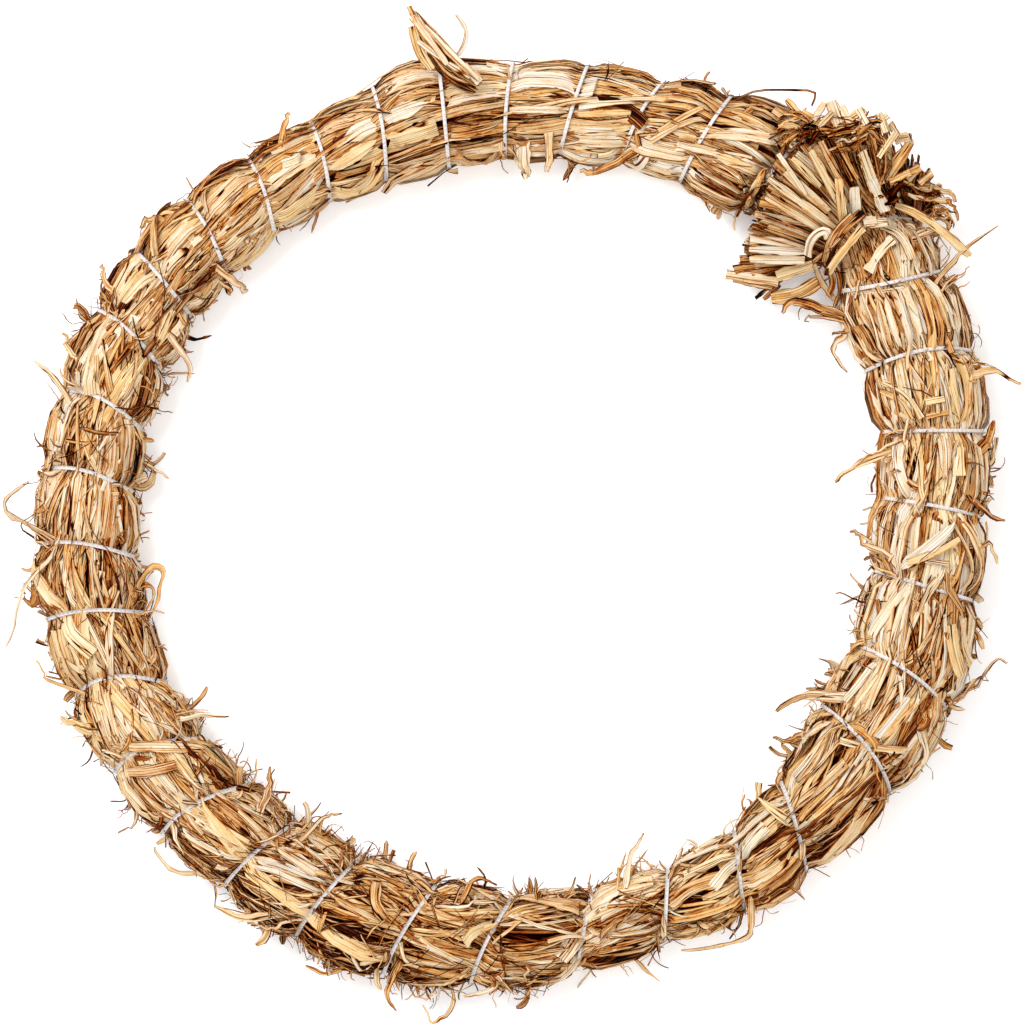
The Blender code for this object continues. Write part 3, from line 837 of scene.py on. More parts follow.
def build_thread():
    wound = np.arange(-THREAD_END, TURNS - 1 + THREAD_END, 1.0 / STEPS_PER_TURN)
    turn = np.floor(wound + 0.25).astype(int)
    section = FRONT + 360.0 * (wound - turn)
    wander = 0.06 * np.sin(wound * 41.0) + 0.05 * np.sin(wound * 17.0)
    points, up = on_bundle(thread_angle(turn, section), section, THREAD_LIFT + wander)
    corner = 2 * np.pi * np.arange(THREAD_CORNERS) / THREAD_CORNERS
    outline = np.stack([np.cos(corner), np.sin(corner)], axis=-1)
    width = np.full((1, len(wound)), THREAD_WIDTH)
    thickness = np.array([THREAD_WIDTH / 2.0])
    made = swept("wound_thread", points[None], up[None], width, outline, thickness, np.ones(1),
                 np.zeros(1), thread_finish())
    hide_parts("binding_thread")
    return made


thread = build_thread()

# %% [markdown]
# ## The splayed end
#
# At the upper right one end of the bundle fans out like a broom over the other. Its stalks
# leave the bundle just past the last turn of thread and run out to a wide rim. The table gives
# that rim: for a section angle, the ring angle, how far it stands off and how high. Many stalks
# stop short of it or start a little deeper, which fills the broom with cut ends.

# %% The broom of stalks
RIM = np.array([
    (-48, 38.0, 36.5, 9.0), (-15, 37.4, 39.5, 17.0), (15, 41.0, 40.0, 27.0), (45, 46.5, 40.5, 36.0),
    (70, 50.6, 32.5, 42.0), (95, 52.9, 18.5, 44.0), (120, 53.8, 3.5, 41.0), (145, 52.6, -10.5, 34.0),
    (170, 50.4, -18.0, 25.0), (195, 48.8, -24.0, 16.0), (215, 47.2, -28.0, 10.0), (230, 43.6, -24.0, 6.0),
])


def build_broom(name, count, sections, width, reach, layer, sunk, tone, shade, finish, outline, curl):
    """Stalks from the bound neck out to the rim, some of them deeper in the broom than others."""
    section = rng.uniform(*sections, count)
    root_angle = thread_angle(np.full(count, TURNS - 1), section) + rng.uniform(0.0, 1.4, count)
    root, up = on_bundle(root_angle, section, rng.uniform(*layer, count))
    rim = np.stack([np.interp(section, RIM[:, 0], RIM[:, c]) for c in (1, 2, 3)], axis=-1)
    tip = in_plan(rim[:, 0], rim[:, 1], rim[:, 2])
    under, _ = on_bundle(root_angle + 11.0, section, np.full(count, 1.5))
    deeper = rng.uniform(*sunk, (count, 1))
    tip = tip * (1 - deeper) + under * deeper
    tip = root + (tip - root) * rng.uniform(*reach, (count, 1)) + rng.normal(0, 1.0, (count, 3))
    steps = 9
    share = np.linspace(0, 1, steps)[None, :, None]
    points = root[:, None] * (1 - share) + tip[:, None] * share
    sideways = unit(np.cross(tip - root, up))
    points = points + sideways[:, None] * (rng.normal(0, curl, (count, 1, 1)) * np.sin(share * np.pi))
    points = points + up[:, None] * (rng.normal(0, curl, (count, 1, 1)) * share ** 2)
    points[..., 2] = np.maximum(points[..., 2], 1.0)
    roll = rng.normal(0, 0.3, (count, 1)) * np.ones((1, steps))
    ups = tilted(np.repeat(up[:, None], steps, axis=1), points, roll)
    wide = rng.uniform(*width, count)
    widths = wide[:, None] * (0.7 + 0.3 * np.linspace(0, 1, steps)) * np.ones((count, 1))
    made = swept(name, points, ups, widths, outline, 0.10 + 0.09 * wide, rng.normal(tone, 0.09, count),
                 rng.uniform(*shade, count), finish)
    return made


broom = build_broom("broom_stalks", 70, sections=(72, 232), width=(2.4, 4.6), reach=(0.80, 1.0),
                    layer=(0.4, 2.2), sunk=(0.0, 0.14), tone=0.73, shade=(0.0, 0.25),
                    finish=blade_finish, outline=PLANK, curl=0.6)
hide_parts("splayed_end")
build_broom("broom_inner_stalks", 220, sections=(60, 232), width=(1.2, 3.6), reach=(0.6, 0.98),
            layer=(-0.8, 1.0), sunk=(0.1, 0.55), tone=0.70, shade=(0.1, 0.6),
            finish=blade_finish, outline=PLANK, curl=0.8)
build_broom("broom_deep_stalks", 230, sections=(28, 232), width=(1.2, 3.4), reach=(0.45, 0.84),
            layer=(-2.2, 0.0), sunk=(0.3, 0.95), tone=0.64, shade=(0.3, 0.8),
            finish=fibre_finish, outline=DIAMOND, curl=0.8)
build_broom("broom_fibres", 220, sections=(-40, 232), width=(0.3, 1.0), reach=(0.5, 0.92),
            layer=(-0.5, 1.8), sunk=(0.0, 0.6), tone=0.63, shade=(0.0, 0.4),
            finish=fibre_finish, outline=THREE, curl=2.0)
build_broom("broom_shreds", 170, sections=(-44, 85), width=(1.2, 3.8), reach=(0.6, 1.02),
            layer=(0.0, 2.0), sunk=(0.0, 0.5), tone=0.70, shade=(0.0, 0.4),
            finish=blade_finish, outline=PLANK, curl=3.2)

# %% [markdown]
# ## Blades placed one by one
#
# Some blades in the broom, in the knot at its neck and in the sprig catch the eye one by one.
# Their table holds the tone, the width and the points each one runs through, in mm: to the
# right, up the picture, and over the floor.

# %% Blades placed one by one
BROOM_BLADES = [
    (0.80, 3.2, [(104.2, 97.4, 34), (94.2, 113.8, 46)]),
    (0.76, 3.0, [(102.9, 90.4, 31), (81.1, 105.4, 42)]),
    (0.94, 1.6, [(93.0, 100.6, 40), (84.0, 113.1, 46)]),
    (0.86, 2.6, [(97.4, 102.9, 39), (88.5, 111.8, 46)]),
    (0.72, 2.6, [(98.7, 89.1, 29), (80.5, 100.0, 39)]),
    (0.80, 4.0, [(105.4, 91.0, 32), (103.5, 105.4, 41)]),
    (0.88, 4.2, [(109.3, 94.2, 32), (108.6, 102.9, 38)]),
    (0.92, 3.8, [(118.6, 95.5, 32), (113.4, 106.1, 39)]),
    (0.80, 4.4, [(114.1, 105.4, 39), (110.6, 113.8, 44)]),
    (0.98, 3.0, [(93.6, 85.5, 23), (75.7, 86.8, 30)]),
    (1.00, 3.1, [(93.6, 83.0, 22), (75.5, 83.7, 28.5)]),
    (0.96, 3.2, [(93.3, 80.4, 21), (75.7, 80.5, 26)]),
    (0.42, 2.6, [(92.3, 87.5, 24), (76.3, 90.7, 32)]),
    (0.70, 3.0, [(96.0, 91.5, 28), (77.0, 94.6, 34)]),
    (0.62, 2.8, [(95.0, 94.5, 31), (78.5, 98.0, 37)]),
    (0.76, 3.6, [(85.3, 73.6, 15), (68.6, 76.2, 13)]),
    (0.62, 2.4, [(83.4, 71.8, 14), (70.9, 74.6, 12)]),
    (0.92, 4.2, [(96.2, 79.0, 18), (84.6, 75.4, 17)]),
    (0.70, 5.0, [(99.4, 74.5, 14), (91.5, 70.0, 13.5), (83.2, 68.4, 12)]),
    (0.30, 1.4, [(84.6, 74.1, 12), (78.2, 68.6, 9)]),
    (0.44, 1.6, [(85.9, 72.8, 13), (80.8, 68.3, 10)]),
    (0.60, 2.8, [(108.6, 105.4, 39), (102.9, 116.3, 45)]),
    (0.52, 2.6, [(104.5, 104.0, 39), (97.5, 117.0, 46)]),
    (0.48, 3.0, [(112.0, 108.0, 39), (108.5, 118.5, 44)]),
    (0.68, 3.2, [(100.5, 95.5, 34), (86.5, 107.5, 43)]),
    (0.64, 4.0, [(118.6, 105.5, 35), (126.2, 117.0, 39)]),
    (0.76, 2.6, [(119.9, 104.8, 35), (126.2, 107.8, 36)]),
    (0.50, 2.6, [(117.3, 104.0, 36), (114.0, 118.2, 42)]),
    (0.70, 3.0, [(125.6, 105.5, 33), (129.5, 109.3, 34)]),
    (0.80, 3.2, [(118.6, 120.5, 40), (116.0, 125.6, 41)]),
    (0.74, 3.4, [(121.1, 118.0, 39), (125.5, 118.9, 39)]),
    (0.84, 2.6, [(116.0, 112.0, 42), (121.5, 120.0, 42)]),
    (0.66, 3.6, [(83.4, 128.0, 31), (92.0, 121.3, 36)]),
    (0.78, 2.4, [(87.2, 131.0, 32), (93.0, 124.0, 37)]),
    (0.70, 4.2, [(91.5, 126.5, 36), (99.0, 121.3, 41)]),
    (0.76, 4.0, [(101.0, 130.0, 39), (104.0, 120.6, 43)]),
    (0.80, 3.0, [(103.9, 128.2, 40), (108.7, 120.0, 44)]),
    (0.90, 2.4, [(116.0, 126.2, 40), (117.9, 119.8, 44)]),
    (0.72, 3.0, [(119.8, 123.0, 38), (122.4, 118.2, 41)]),
    (0.78, 3.4, [(125.0, 119.8, 35), (126.2, 115.7, 38)]),
    (0.88, 1.8, [(84.6, 122.4, 35), (93.0, 125.6, 39)]),
    (0.74, 2.8, [(119.8, 104.8, 34), (129.4, 109.3, 35)]),
    (0.68, 2.2, [(96.5, 121.0, 42), (101.5, 126.5, 43)]),
    (0.82, 2.6, [(109.5, 127.5, 41), (112.0, 122.5, 45)]),
    (0.70, 2.6, [(129.5, 104.5, 30), (133.5, 108.0, 29)]),
    (0.96, 3.0, [(94.2, 81.8, 25), (94.9, 85.9, 30), (97.1, 88.5, 33), (99.7, 89.1, 34),
                 (100.6, 86.9, 33)]),
    (0.42, 3.6, [(102.2, 83.7, 31), (105.1, 89.4, 35), (111.2, 94.9, 35)]),
    (0.84, 3.2, [(100.3, 76.0, 27), (104.5, 82.1, 32), (111.2, 90.4, 34)]),
    (0.52, 2.2, [(99.4, 79.8, 28), (100.6, 85.3, 33), (103.5, 90.1, 36), (107.7, 94.2, 36)]),
    (0.90, 3.8, [(111.5, 92.0, 34), (115.7, 92.6, 33)]),
    (0.96, 3.0, [(113.4, 91.4, 33), (119.2, 92.0, 32)]),
    (0.34, 1.4, [(100.0, 75.4, 27), (100.6, 79.8, 30), (102.6, 83.7, 32)]),
    (0.70, 1.4, [(96.2, 79.8, 23), (100.0, 83.0, 31), (104.0, 87.0, 34)]),
    (0.90, 3.6, [(113.1, 76.6, 30.5), (117.0, 82.7, 31), (121.1, 86.9, 30.5)]),
    (0.84, 3.0, [(122.0, 97.5, 29), (128.0, 95.2, 31), (135.5, 90.3, 28.5), (142.0, 85.1, 25),
                 (146.0, 81.8, 22)]),
    (0.42, 4.6, [(95.0, 118.0, 37), (101.0, 122.5, 39), (106.5, 123.5, 39)]),
    (0.44, 4.4, [(99.0, 117.0, 38), (103.5, 123.5, 39)]),
    (0.42, 4.4, [(105.0, 118.0, 39), (108.5, 124.0, 39)]),
    (0.42, 4.2, [(110.0, 117.0, 39), (114.5, 121.5, 38)]),
    (0.80, 2.4, [(95.5, 124.0, 40), (99.0, 129.5, 40)]),
    (0.62, 0.9, [(70.0, 131.0, 20), (78.0, 134.4, 21), (88.0, 134.6, 23), (96.3, 133.7, 27),
                 (95.2, 129.0, 33)]),
    (0.52, 2.4, [(99.5, 80.0, 23), (102.5, 74.0, 18), (101.5, 69.0, 12)]),
    (0.64, 2.0, [(96.5, 79.0, 20), (99.5, 73.0, 15), (103.5, 68.0, 12)]),
    (0.42, 1.8, [(100.5, 82.0, 24), (104.5, 75.0, 20), (105.0, 68.0, 14)]),
    (0.76, 3.0, [(106.5, 124.0, 42), (111.5, 127.5, 41)]),
    (0.82, 2.2, [(113.5, 121.5, 43), (119.0, 125.5, 40)]),
]


def build_placed(name, rows, steps=10):
    """Blades through given points, flat side up, with square-cut or slightly torn ends."""
    count = len(rows)
    lines = np.array([smooth_line(points, steps) for _, _, points in rows])
    width = np.array([row[1] for row in rows])
    tone = np.array([row[0] for row in rows])
    ups = np.broadcast_to(np.array([0.0, 0.0, 1.0]), lines.shape)
    roll = rng.normal(0, 0.2, (count, 1)) + np.linspace(-1, 1, steps) * rng.normal(0, 0.15, (count, 1))
    ups = tilted(ups, lines, roll)
    widths = blade_widths(width, rng.choice([0.0, 0.3], count, p=[0.7, 0.3]), steps)
    made = swept(name, lines, ups, widths, PLANK, 0.2 + 0.04 * width, tone, np.zeros(count), blade_finish)
    return made


build_placed("broom_blades", BROOM_BLADES)

# %% [markdown]
# ## Tangled fibres
#
# Brown fibres swirl over the top of the broom. Each bunch follows one line, and every fibre in
# it starts and stops somewhere along that line, a little aside, with a slow wave of its own.

# %% Bunches of curved fibres
TANGLES = [
    (18, 0.68, [(93.3, 119.5, 40), (99.4, 121.8, 41), (106.0, 122.8, 42), (112.0, 121.2, 42),
                (116.0, 117.0, 40), (118.5, 111.5, 38)]),
    (16, 0.65, [(94.9, 117.9, 42), (100.6, 118.9, 44), (107.0, 120.5, 44), (113.4, 121.8, 43),
                (117.9, 119.9, 41)]),
    (14, 0.71, [(96.2, 115.7, 43), (102.6, 115.7, 44), (108.3, 117.6, 44), (112.2, 120.8, 43),
                (114.7, 124.6, 40)]),
    (14, 0.70, [(114.1, 122.7, 41), (117.3, 115.7, 41), (117.9, 108.6, 38), (115.7, 102.9, 35)]),
    (16, 0.67, [(123.0, 104.0, 30), (130.7, 101.5, 27), (135.8, 101.6, 23), (139.0, 99.0, 19)]),
    (12, 0.71, [(133.0, 93.0, 22), (136.0, 96.0, 24), (140.0, 94.5, 23), (140.2, 90.0, 20)]),
    (16, 0.67, [(80.5, 117.5, 33), (88.0, 120.0, 36), (95.0, 119.0, 39), (100.0, 116.5, 42)]),
    (12, 0.65, [(84.5, 109.0, 37), (87.0, 115.5, 39), (93.0, 119.5, 41)]),
    (12, 0.68, [(83.0, 125.0, 32), (89.0, 124.0, 36), (96.0, 121.5, 40), (102.0, 120.0, 42)]),
    (10, 0.63, [(73.5, 95.5, 27), (77.5, 102.5, 33), (83.0, 110.5, 38)]),
    # Painted shade: these dark fibres stand for the shadowed hollow between the broom and the bundle.
    (9, 0.34, [(91.5, 119.0, 41), (94.5, 120.5, 43), (98.0, 122.0, 42)]),
    (7, 0.32, [(116.0, 99.5, 35), (120.5, 101.5, 35), (125.0, 103.5, 32)]),
]


def build_tangles():
    steps, last = 12, 59
    lines, tones = [], []
    for fibres, tone, way in TANGLES:
        line = smooth_line(way, last + 1)
        for _ in range(fibres):
            begin, stop = rng.uniform(0, 0.35), rng.uniform(0.65, 1.0)
            piece = line[np.linspace(begin * last, stop * last, steps).astype(int)]
            wave = np.sin(np.linspace(0, rng.uniform(2, 8), steps) + rng.uniform(0, 6.3))[:, None]
            lines.append(piece + rng.normal(0, 1.15, 3) * (1, 1, 0.4) + wave * rng.normal(0, 0.8, 3))
            tones.append(tone + rng.normal(0, 0.12))
    lines = kinked(np.array(lines), 0.7, np.ones(steps))
    count = len(lines)
    ups = np.broadcast_to(np.array([0.0, 0.0, 1.0]), lines.shape)
    ups = tilted(ups, lines, rng.normal(0, 0.7, (count, 1)) * np.ones((1, steps)))
    wide = 0.3 + 2.1 * rng.uniform(0, 1, count) ** 1.7
    widths = blade_widths(wide, rng.choice([0.3, 0.9], count), steps)
    made = swept("tangled_fibres", lines, ups, widths, PLANK, 0.1 + 0.05 * wide, np.array(tones),
                 rng.uniform(0, 0.2, count), fibre_finish)
    return made


build_tangles()

# %% [markdown]
# ## Straws that stand clear
#
# What gives the ring its ragged outline are the straws that stick out. The larger ones are
# placed from a table: width, the section angle of the root, how far the tip rises, the root's
# ring angle, then points of ring angle and stand-off. A smooth curve is drawn through each
# row's points, and a blade is swept along it. The root follows the other straw for a few
# millimetres first, deep enough that no straw seems to be stuck on.

# %% The larger stray straws
STRAYS = [
    (2.2, 50, -7, 29.2, [(31.0, 33.5), (31.4, 48.5)]),
    (2.2, 55, -8, 35.4, [(34.0, 32.5), (30.1, 35.0)]),
    (3.0, 50, -4, 18.2, [(17.0, 27.5), (15.1, 34.5)]),
    (5.0, 50, -7, 7.6, [(9.8, 20.5), (12.0, 24.0)]),
    (2.8, 50, -3, 3.4, [(1.4, 16.5), (0.6, 23.5)]),
    (2.4, 50, -6, -2.8, [(-3.0, 17.5), (-5.0, 22.0)]),
    (1.8, 10, 1, -21.2, [(-19.6, 22.7), (-15.6, 26.8), (-15.7, 31.0)]),
    (3.4, 50, -8, -26.0, [(-29.0, 18.0), (-32.0, 17.5)]),
    (2.6, 50, -5, -57.0, [(-59.2, 15.5), (-60.6, 19.1), (-64.5, 17.0), (-68.4, 13.9)]),
    (1.6, -30, 0, -74.6, [(-73.4, 15.5), (-72.0, 20.7)]),
    (3.2, 50, -5, -90.4, [(-92.6, 15.3), (-95.6, 18.1)]),
    (1.8, 10, 0, -97.6, [(-97.0, 21.9), (-98.9, 25.5), (-100.5, 21.7)]),
    (3.4, 50, -4, -104.2, [(-104.6, 20.5), (-103.0, 25.5)]),
    (2.6, 10, 1, -109.8, [(-112.2, 21.5), (-114.6, 21.9)]),
    (3.6, 50, -7, -120.4, [(-124.0, 18.1), (-127.6, 20.5)]),
    (2.4, 10, 2, -131.0, [(-134.0, 20.1), (-137.6, 19.5)]),
    (1.8, 10, 3, -142.6, [(-141.4, 20.5), (-141.6, 25.5)]),
    (5.0, 50, -7, -151.2, [(-154.4, 18.3), (-156.5, 21.9)]),
    (1.6, 50, -4, -157.6, [(-161.0, 19.1), (-163.6, 22.9)]),
    (4.6, 10, -3, -172.6, [(-170.2, 20.9), (-172.0, 24.3)]),
    (1.8, 50, 3, 184.2, [(188.0, 21.5), (193.5, 30.1)]),
    (2.6, 50, -6, 182.5, [(178.0, 27.0), (174.9, 20.4)]),
    (2.6, 50, -3, 165.4, [(162.8, 18.1), (161.3, 26.3)]),
    (3.0, 50, -4, 160.4, [(158.6, 16.5), (157.0, 20.7)]),
    (2.6, 50, -4, 150.2, [(149.2, 17.7), (147.6, 19.5)]),
    (4.8, 50, -6, 137.8, [(139.6, 14.9), (141.8, 16.1)]),
    (3.0, 50, -3, 122.4, [(120.2, 11.1), (118.6, 14.1)]),
    (3.6, 130, -5, 139.2, [(138.6, -18.5), (138.6, -22.9)]),
    (2.6, 130, -2, 150.6, [(153.6, -19.9), (156.4, -21.9)]),
    (2.0, 170, 1, 151.0, [(150.0, -19.5), (148.2, -22.7)]),
    (1.8, 170, -2, 170.8, [(171.2, -18.5), (172.6, -23.7)]),
    (3.0, 150, -3, 190.4, [(187.6, -17.8), (188.3, -22.0), (190.9, -20.8), (195.0, -14.8)]),
    (2.4, 130, -4, 210.0, [(212.4, -20.9), (214.3, -25.9)]),
    (3.0, 130, -2, 229.4, [(227.4, -21.1), (225.6, -25.5)]),
    (2.2, 130, 2, 236.2, [(237.8, -23.9), (240.0, -26.9)]),
    (2.6, 130, -2, 262.0, [(264.2, -20.9), (267.8, -18.9)]),
    (2.6, 130, -4, 286.8, [(290.2, -21.3), (293.2, -26.5)]),
    (4.2, 130, -4, 333.0, [(329.6, -25.1), (325.0, -30.1)]),
    (3.6, 170, 0, 324.6, [(322.4, -21.5), (320.6, -25.7)]),
    (2.6, 130, 2, 354.4, [(356.0, -21.9), (358.4, -26.3)]),
    (3.2, 130, -4, 371.0, [(369.4, -22.1), (366.8, -29.7)]),
    (4.4, 165, -2, 31.4, [(35.3, -15.9), (38.2, -21.4), (37.8, -25.3)]),
    (2.6, 170, -1, 30.0, [(28.0, -16.9), (24.2, -15.9)]),
    (3.8, 130, -4, 70.6, [(75.0, -18.1), (78.6, -21.1)]),
    (3.6, 121, -3, 84.6, [(84.2, -17.9), (84.0, -21.9)]),
    (6.0, 130, -4, 88.6, [(88.0, -19.5), (87.5, -25.1)]),
]

ROOT_BACK = 4.5
ROOT_TURN = 10.0
ROOT_LIFT = -2.6
SKIN_LIFT = -0.4
LOWEST = 1.0


def stray_line(section, rise, root_angle, way, steps):
    """A straw that comes out of the bundle the way it lies in it, then leans off it."""
    ahead = way[0][0] - root_angle
    back = -math.copysign(ROOT_BACK, ahead) if abs(ahead) > 0.4 else 0.0
    toward_front = ROOT_TURN if section < FRONT else -ROOT_TURN
    inside, _ = on_bundle(np.array([root_angle + back]), np.array([section + toward_front]),
                          np.array([ROOT_LIFT]))
    root, away = on_bundle(np.array([root_angle]), np.array([float(section)]), np.array([SKIN_LIFT]))
    points = [inside[0], root[0]]
    for i, (angle, stand_off) in enumerate(way):
        height = max(root[0, 2] + rise * (i + 1) / len(way), LOWEST)
        points.append(in_plan(np.array([float(angle)]), np.array([stand_off]), height)[0])
    share = np.linspace(0, 1, steps)[:, None]
    return smooth_line(points, steps), unit(away[0] * (1 - share) + np.array([0.0, 0.0, 1.0]) * share)


def build_strays():
    """Each stray is a blade with narrower strips split off it, which part from it on the way."""
    steps, strips = 18, 4
    made = [stray_line(section, rise, root, way, steps) for _, section, rise, root, way in STRAYS]
    lines = np.repeat([line for line, _ in made], strips, axis=0)
    ups = np.repeat([up for _, up in made], strips, axis=0)
    count = len(lines)
    main = np.arange(count) % strips == 0
    share = np.linspace(0, 1, steps)
    full = np.repeat([0.85 * row[0] for row in STRAYS], strips)[:, None]
    width = full * np.where(main, 0.9, rng.uniform(0.2, 0.45, count))[:, None]
    forward = unit(np.gradient(lines, axis=1))
    across = unit(np.cross(forward, ups))
    offset = np.where(main, 0.0, rng.uniform(-0.5, 0.5, count))[:, None] * full
    parting = np.where(main, 0.0, rng.normal(0, 1.5, count))[:, None] * share ** 2
    lines = lines + across * (offset + parting)[..., None]
    lines[..., 2] += np.where(main, 0.0, rng.uniform(-0.8, 1.0, count))[:, None]
    cut = np.where(main, 1.0, rng.uniform(0.3, 0.8, count))[:, None, None]
    lines = lines[:, :1] + (lines - lines[:, :1]) * cut
    lines = kinked(lines, 0.75, share)
    lines[..., 2] = np.maximum(lines[..., 2], 0.8)
    leaf = 0.7 + 0.4 * np.sin(np.pi * np.minimum(share * 1.3, 1.0))
    widths = width * (leaf + rng.normal(0, 0.13, (count, steps))) * (1 - 0.55 * share ** 8)
    roll = share ** 1.5 * rng.normal(0, 0.5, (count, 1)) + rng.normal(0, 0.12, (count, steps))
    ups = tilted(ups, lines, roll)
    tone = np.repeat(rng.normal(0.74, 0.09, len(STRAYS)), strips) + rng.normal(0, 0.08, count)
    thickness = 0.10 + 0.025 * width[:, 0]
    made = swept("stray_straws", lines, ups, widths, PLANK, thickness, tone, np.zeros(count),
                 blade_finish)
    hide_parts(*[f"loose_straw_{number:02d}" for number in range(1, len(STRAYS) + 1)])
    return made


strays = build_strays()

# %% [markdown]
# ## Frayed ends
#
# Between the large strays hundreds of short ends stick out, mostly a few millimetres, and they
# make the outline shaggy. They come in tufts, a few from about one root. Each leans somewhere
# between straight out and along the ring, and bends on the way. Where the straw is shaggy there
# are more of them.

# %% Frayed ends along both sides
FRAY_STEPS = 8
OUTER_SECTIONS = (-35, 60)
INNER_SECTIONS = (120, 215)


def build_frays(name, count, tuft, width, reach, tone, finish, outline, curl):
    """Short ends in tufts. reach: the shortest, what they have beyond it on average, the longest."""
    angle = rng.uniform(0, 360, count * 4)
    shag = round_table(CHARACTER, angle)[:, 2]
    angle = angle[rng.uniform(0, 1.05, count * 4) < shag ** 1.3][:count]
    count = len(angle)
    pale = round_table(CHARACTER, angle)[:, 1]
    outer = rng.uniform(0, 1, count) < 0.5
    section = np.where(outer, rng.uniform(*OUTER_SECTIONS, count), rng.uniform(*INNER_SECTIONS, count))
    first = np.arange(count) // tuft * tuft
    angle = angle[first] + rng.normal(0, 0.9, count)
    section = section[first] + rng.normal(0, 7, count)
    root, away = on_bundle(angle, section, np.full(count, -0.8))
    turned = np.radians(angle)
    along_ring = np.stack([-np.sin(turned), np.cos(turned), np.zeros(count)], axis=-1)
    along_ring *= rng.choice([-1.0, 1.0], count)[:, None]
    lean = np.radians(rng.uniform(15, 75, count))[:, None]
    level = unit(away * (1.0, 1.0, 0.35))
    way = along_ring * np.cos(lean) + level * np.sin(lean)
    long = reach[0] + rng.exponential(reach[1], count)[:, None, None]
    long = np.minimum(long, reach[2])
    level_turn = np.cumsum(rng.normal(0, curl, (count, FRAY_STEPS)), axis=1)
    level_turn = level_turn + rng.normal(0, curl, (count, 1)) * np.arange(FRAY_STEPS)
    rise_turn = np.cumsum(rng.normal(0, curl * 0.7, (count, FRAY_STEPS)), axis=1)
    aside = unit(np.cross(way, (0.0, 0.0, 1.0)))
    steps = way[:, None] * np.cos(level_turn)[..., None] + aside[:, None] * np.sin(level_turn)[..., None]
    steps[..., 2] += np.sin(rise_turn)
    points = root[:, None] + np.cumsum(unit(steps), axis=1) * (long / FRAY_STEPS)
    points[..., 2] = np.maximum(points[..., 2], 0.5)
    ups = np.repeat(unit(away + (0.0, 0.0, 1.2))[:, None], FRAY_STEPS, axis=1)
    lean = rng.normal(0, 0.5, (count, 1))
    twist = np.linspace(0, 1, FRAY_STEPS) * rng.normal(0, 0.9, (count, 1))
    ups = tilted(ups, points, lean + twist)
    wide = width[0] + (width[1] - width[0]) * rng.uniform(0, 1, count) ** 2
    widths = blade_widths(wide, rng.choice([0.0, 0.5, 0.95], count), FRAY_STEPS)
    tones = pale + tone + rng.normal(0, 0.10, count)
    shade = rng.uniform(0, 0.25, count)
    made = swept(name, points, ups, widths, outline, 0.07 + 0.05 * wide, tones, shade, finish)
    return made


build_frays("frayed_blades", 660, tuft=3, width=(0.5, 3.2), reach=(3.5, 2.6, 11.0), tone=0.06,
            finish=blade_finish, outline=PLANK, curl=0.15)
build_frays("frayed_fibres", 640, tuft=6, width=(0.35, 0.9), reach=(3.5, 3.0, 12.0), tone=0.12,
            finish=fibre_finish, outline=THREE, curl=0.26)

# %% [markdown]
# ## Blades that catch the eye
#
# A few dozen blades stand out on the real ring: broad pale ones at the right, folded and crossed
# ones, golden tongues. They are listed one by one. Each row holds how many mm the blade lies over
# the bundle, its tone, its width in mm, and points by ring angle and stand-off.
# draped: the section angle follows from how far the point stands off the bundle's middle. It
# levels out near the bundle's side, so that a blade there doesn't fold over the edge. Where the
# straw is fine, a wide one is laid as two blades side by side, as if it had split.

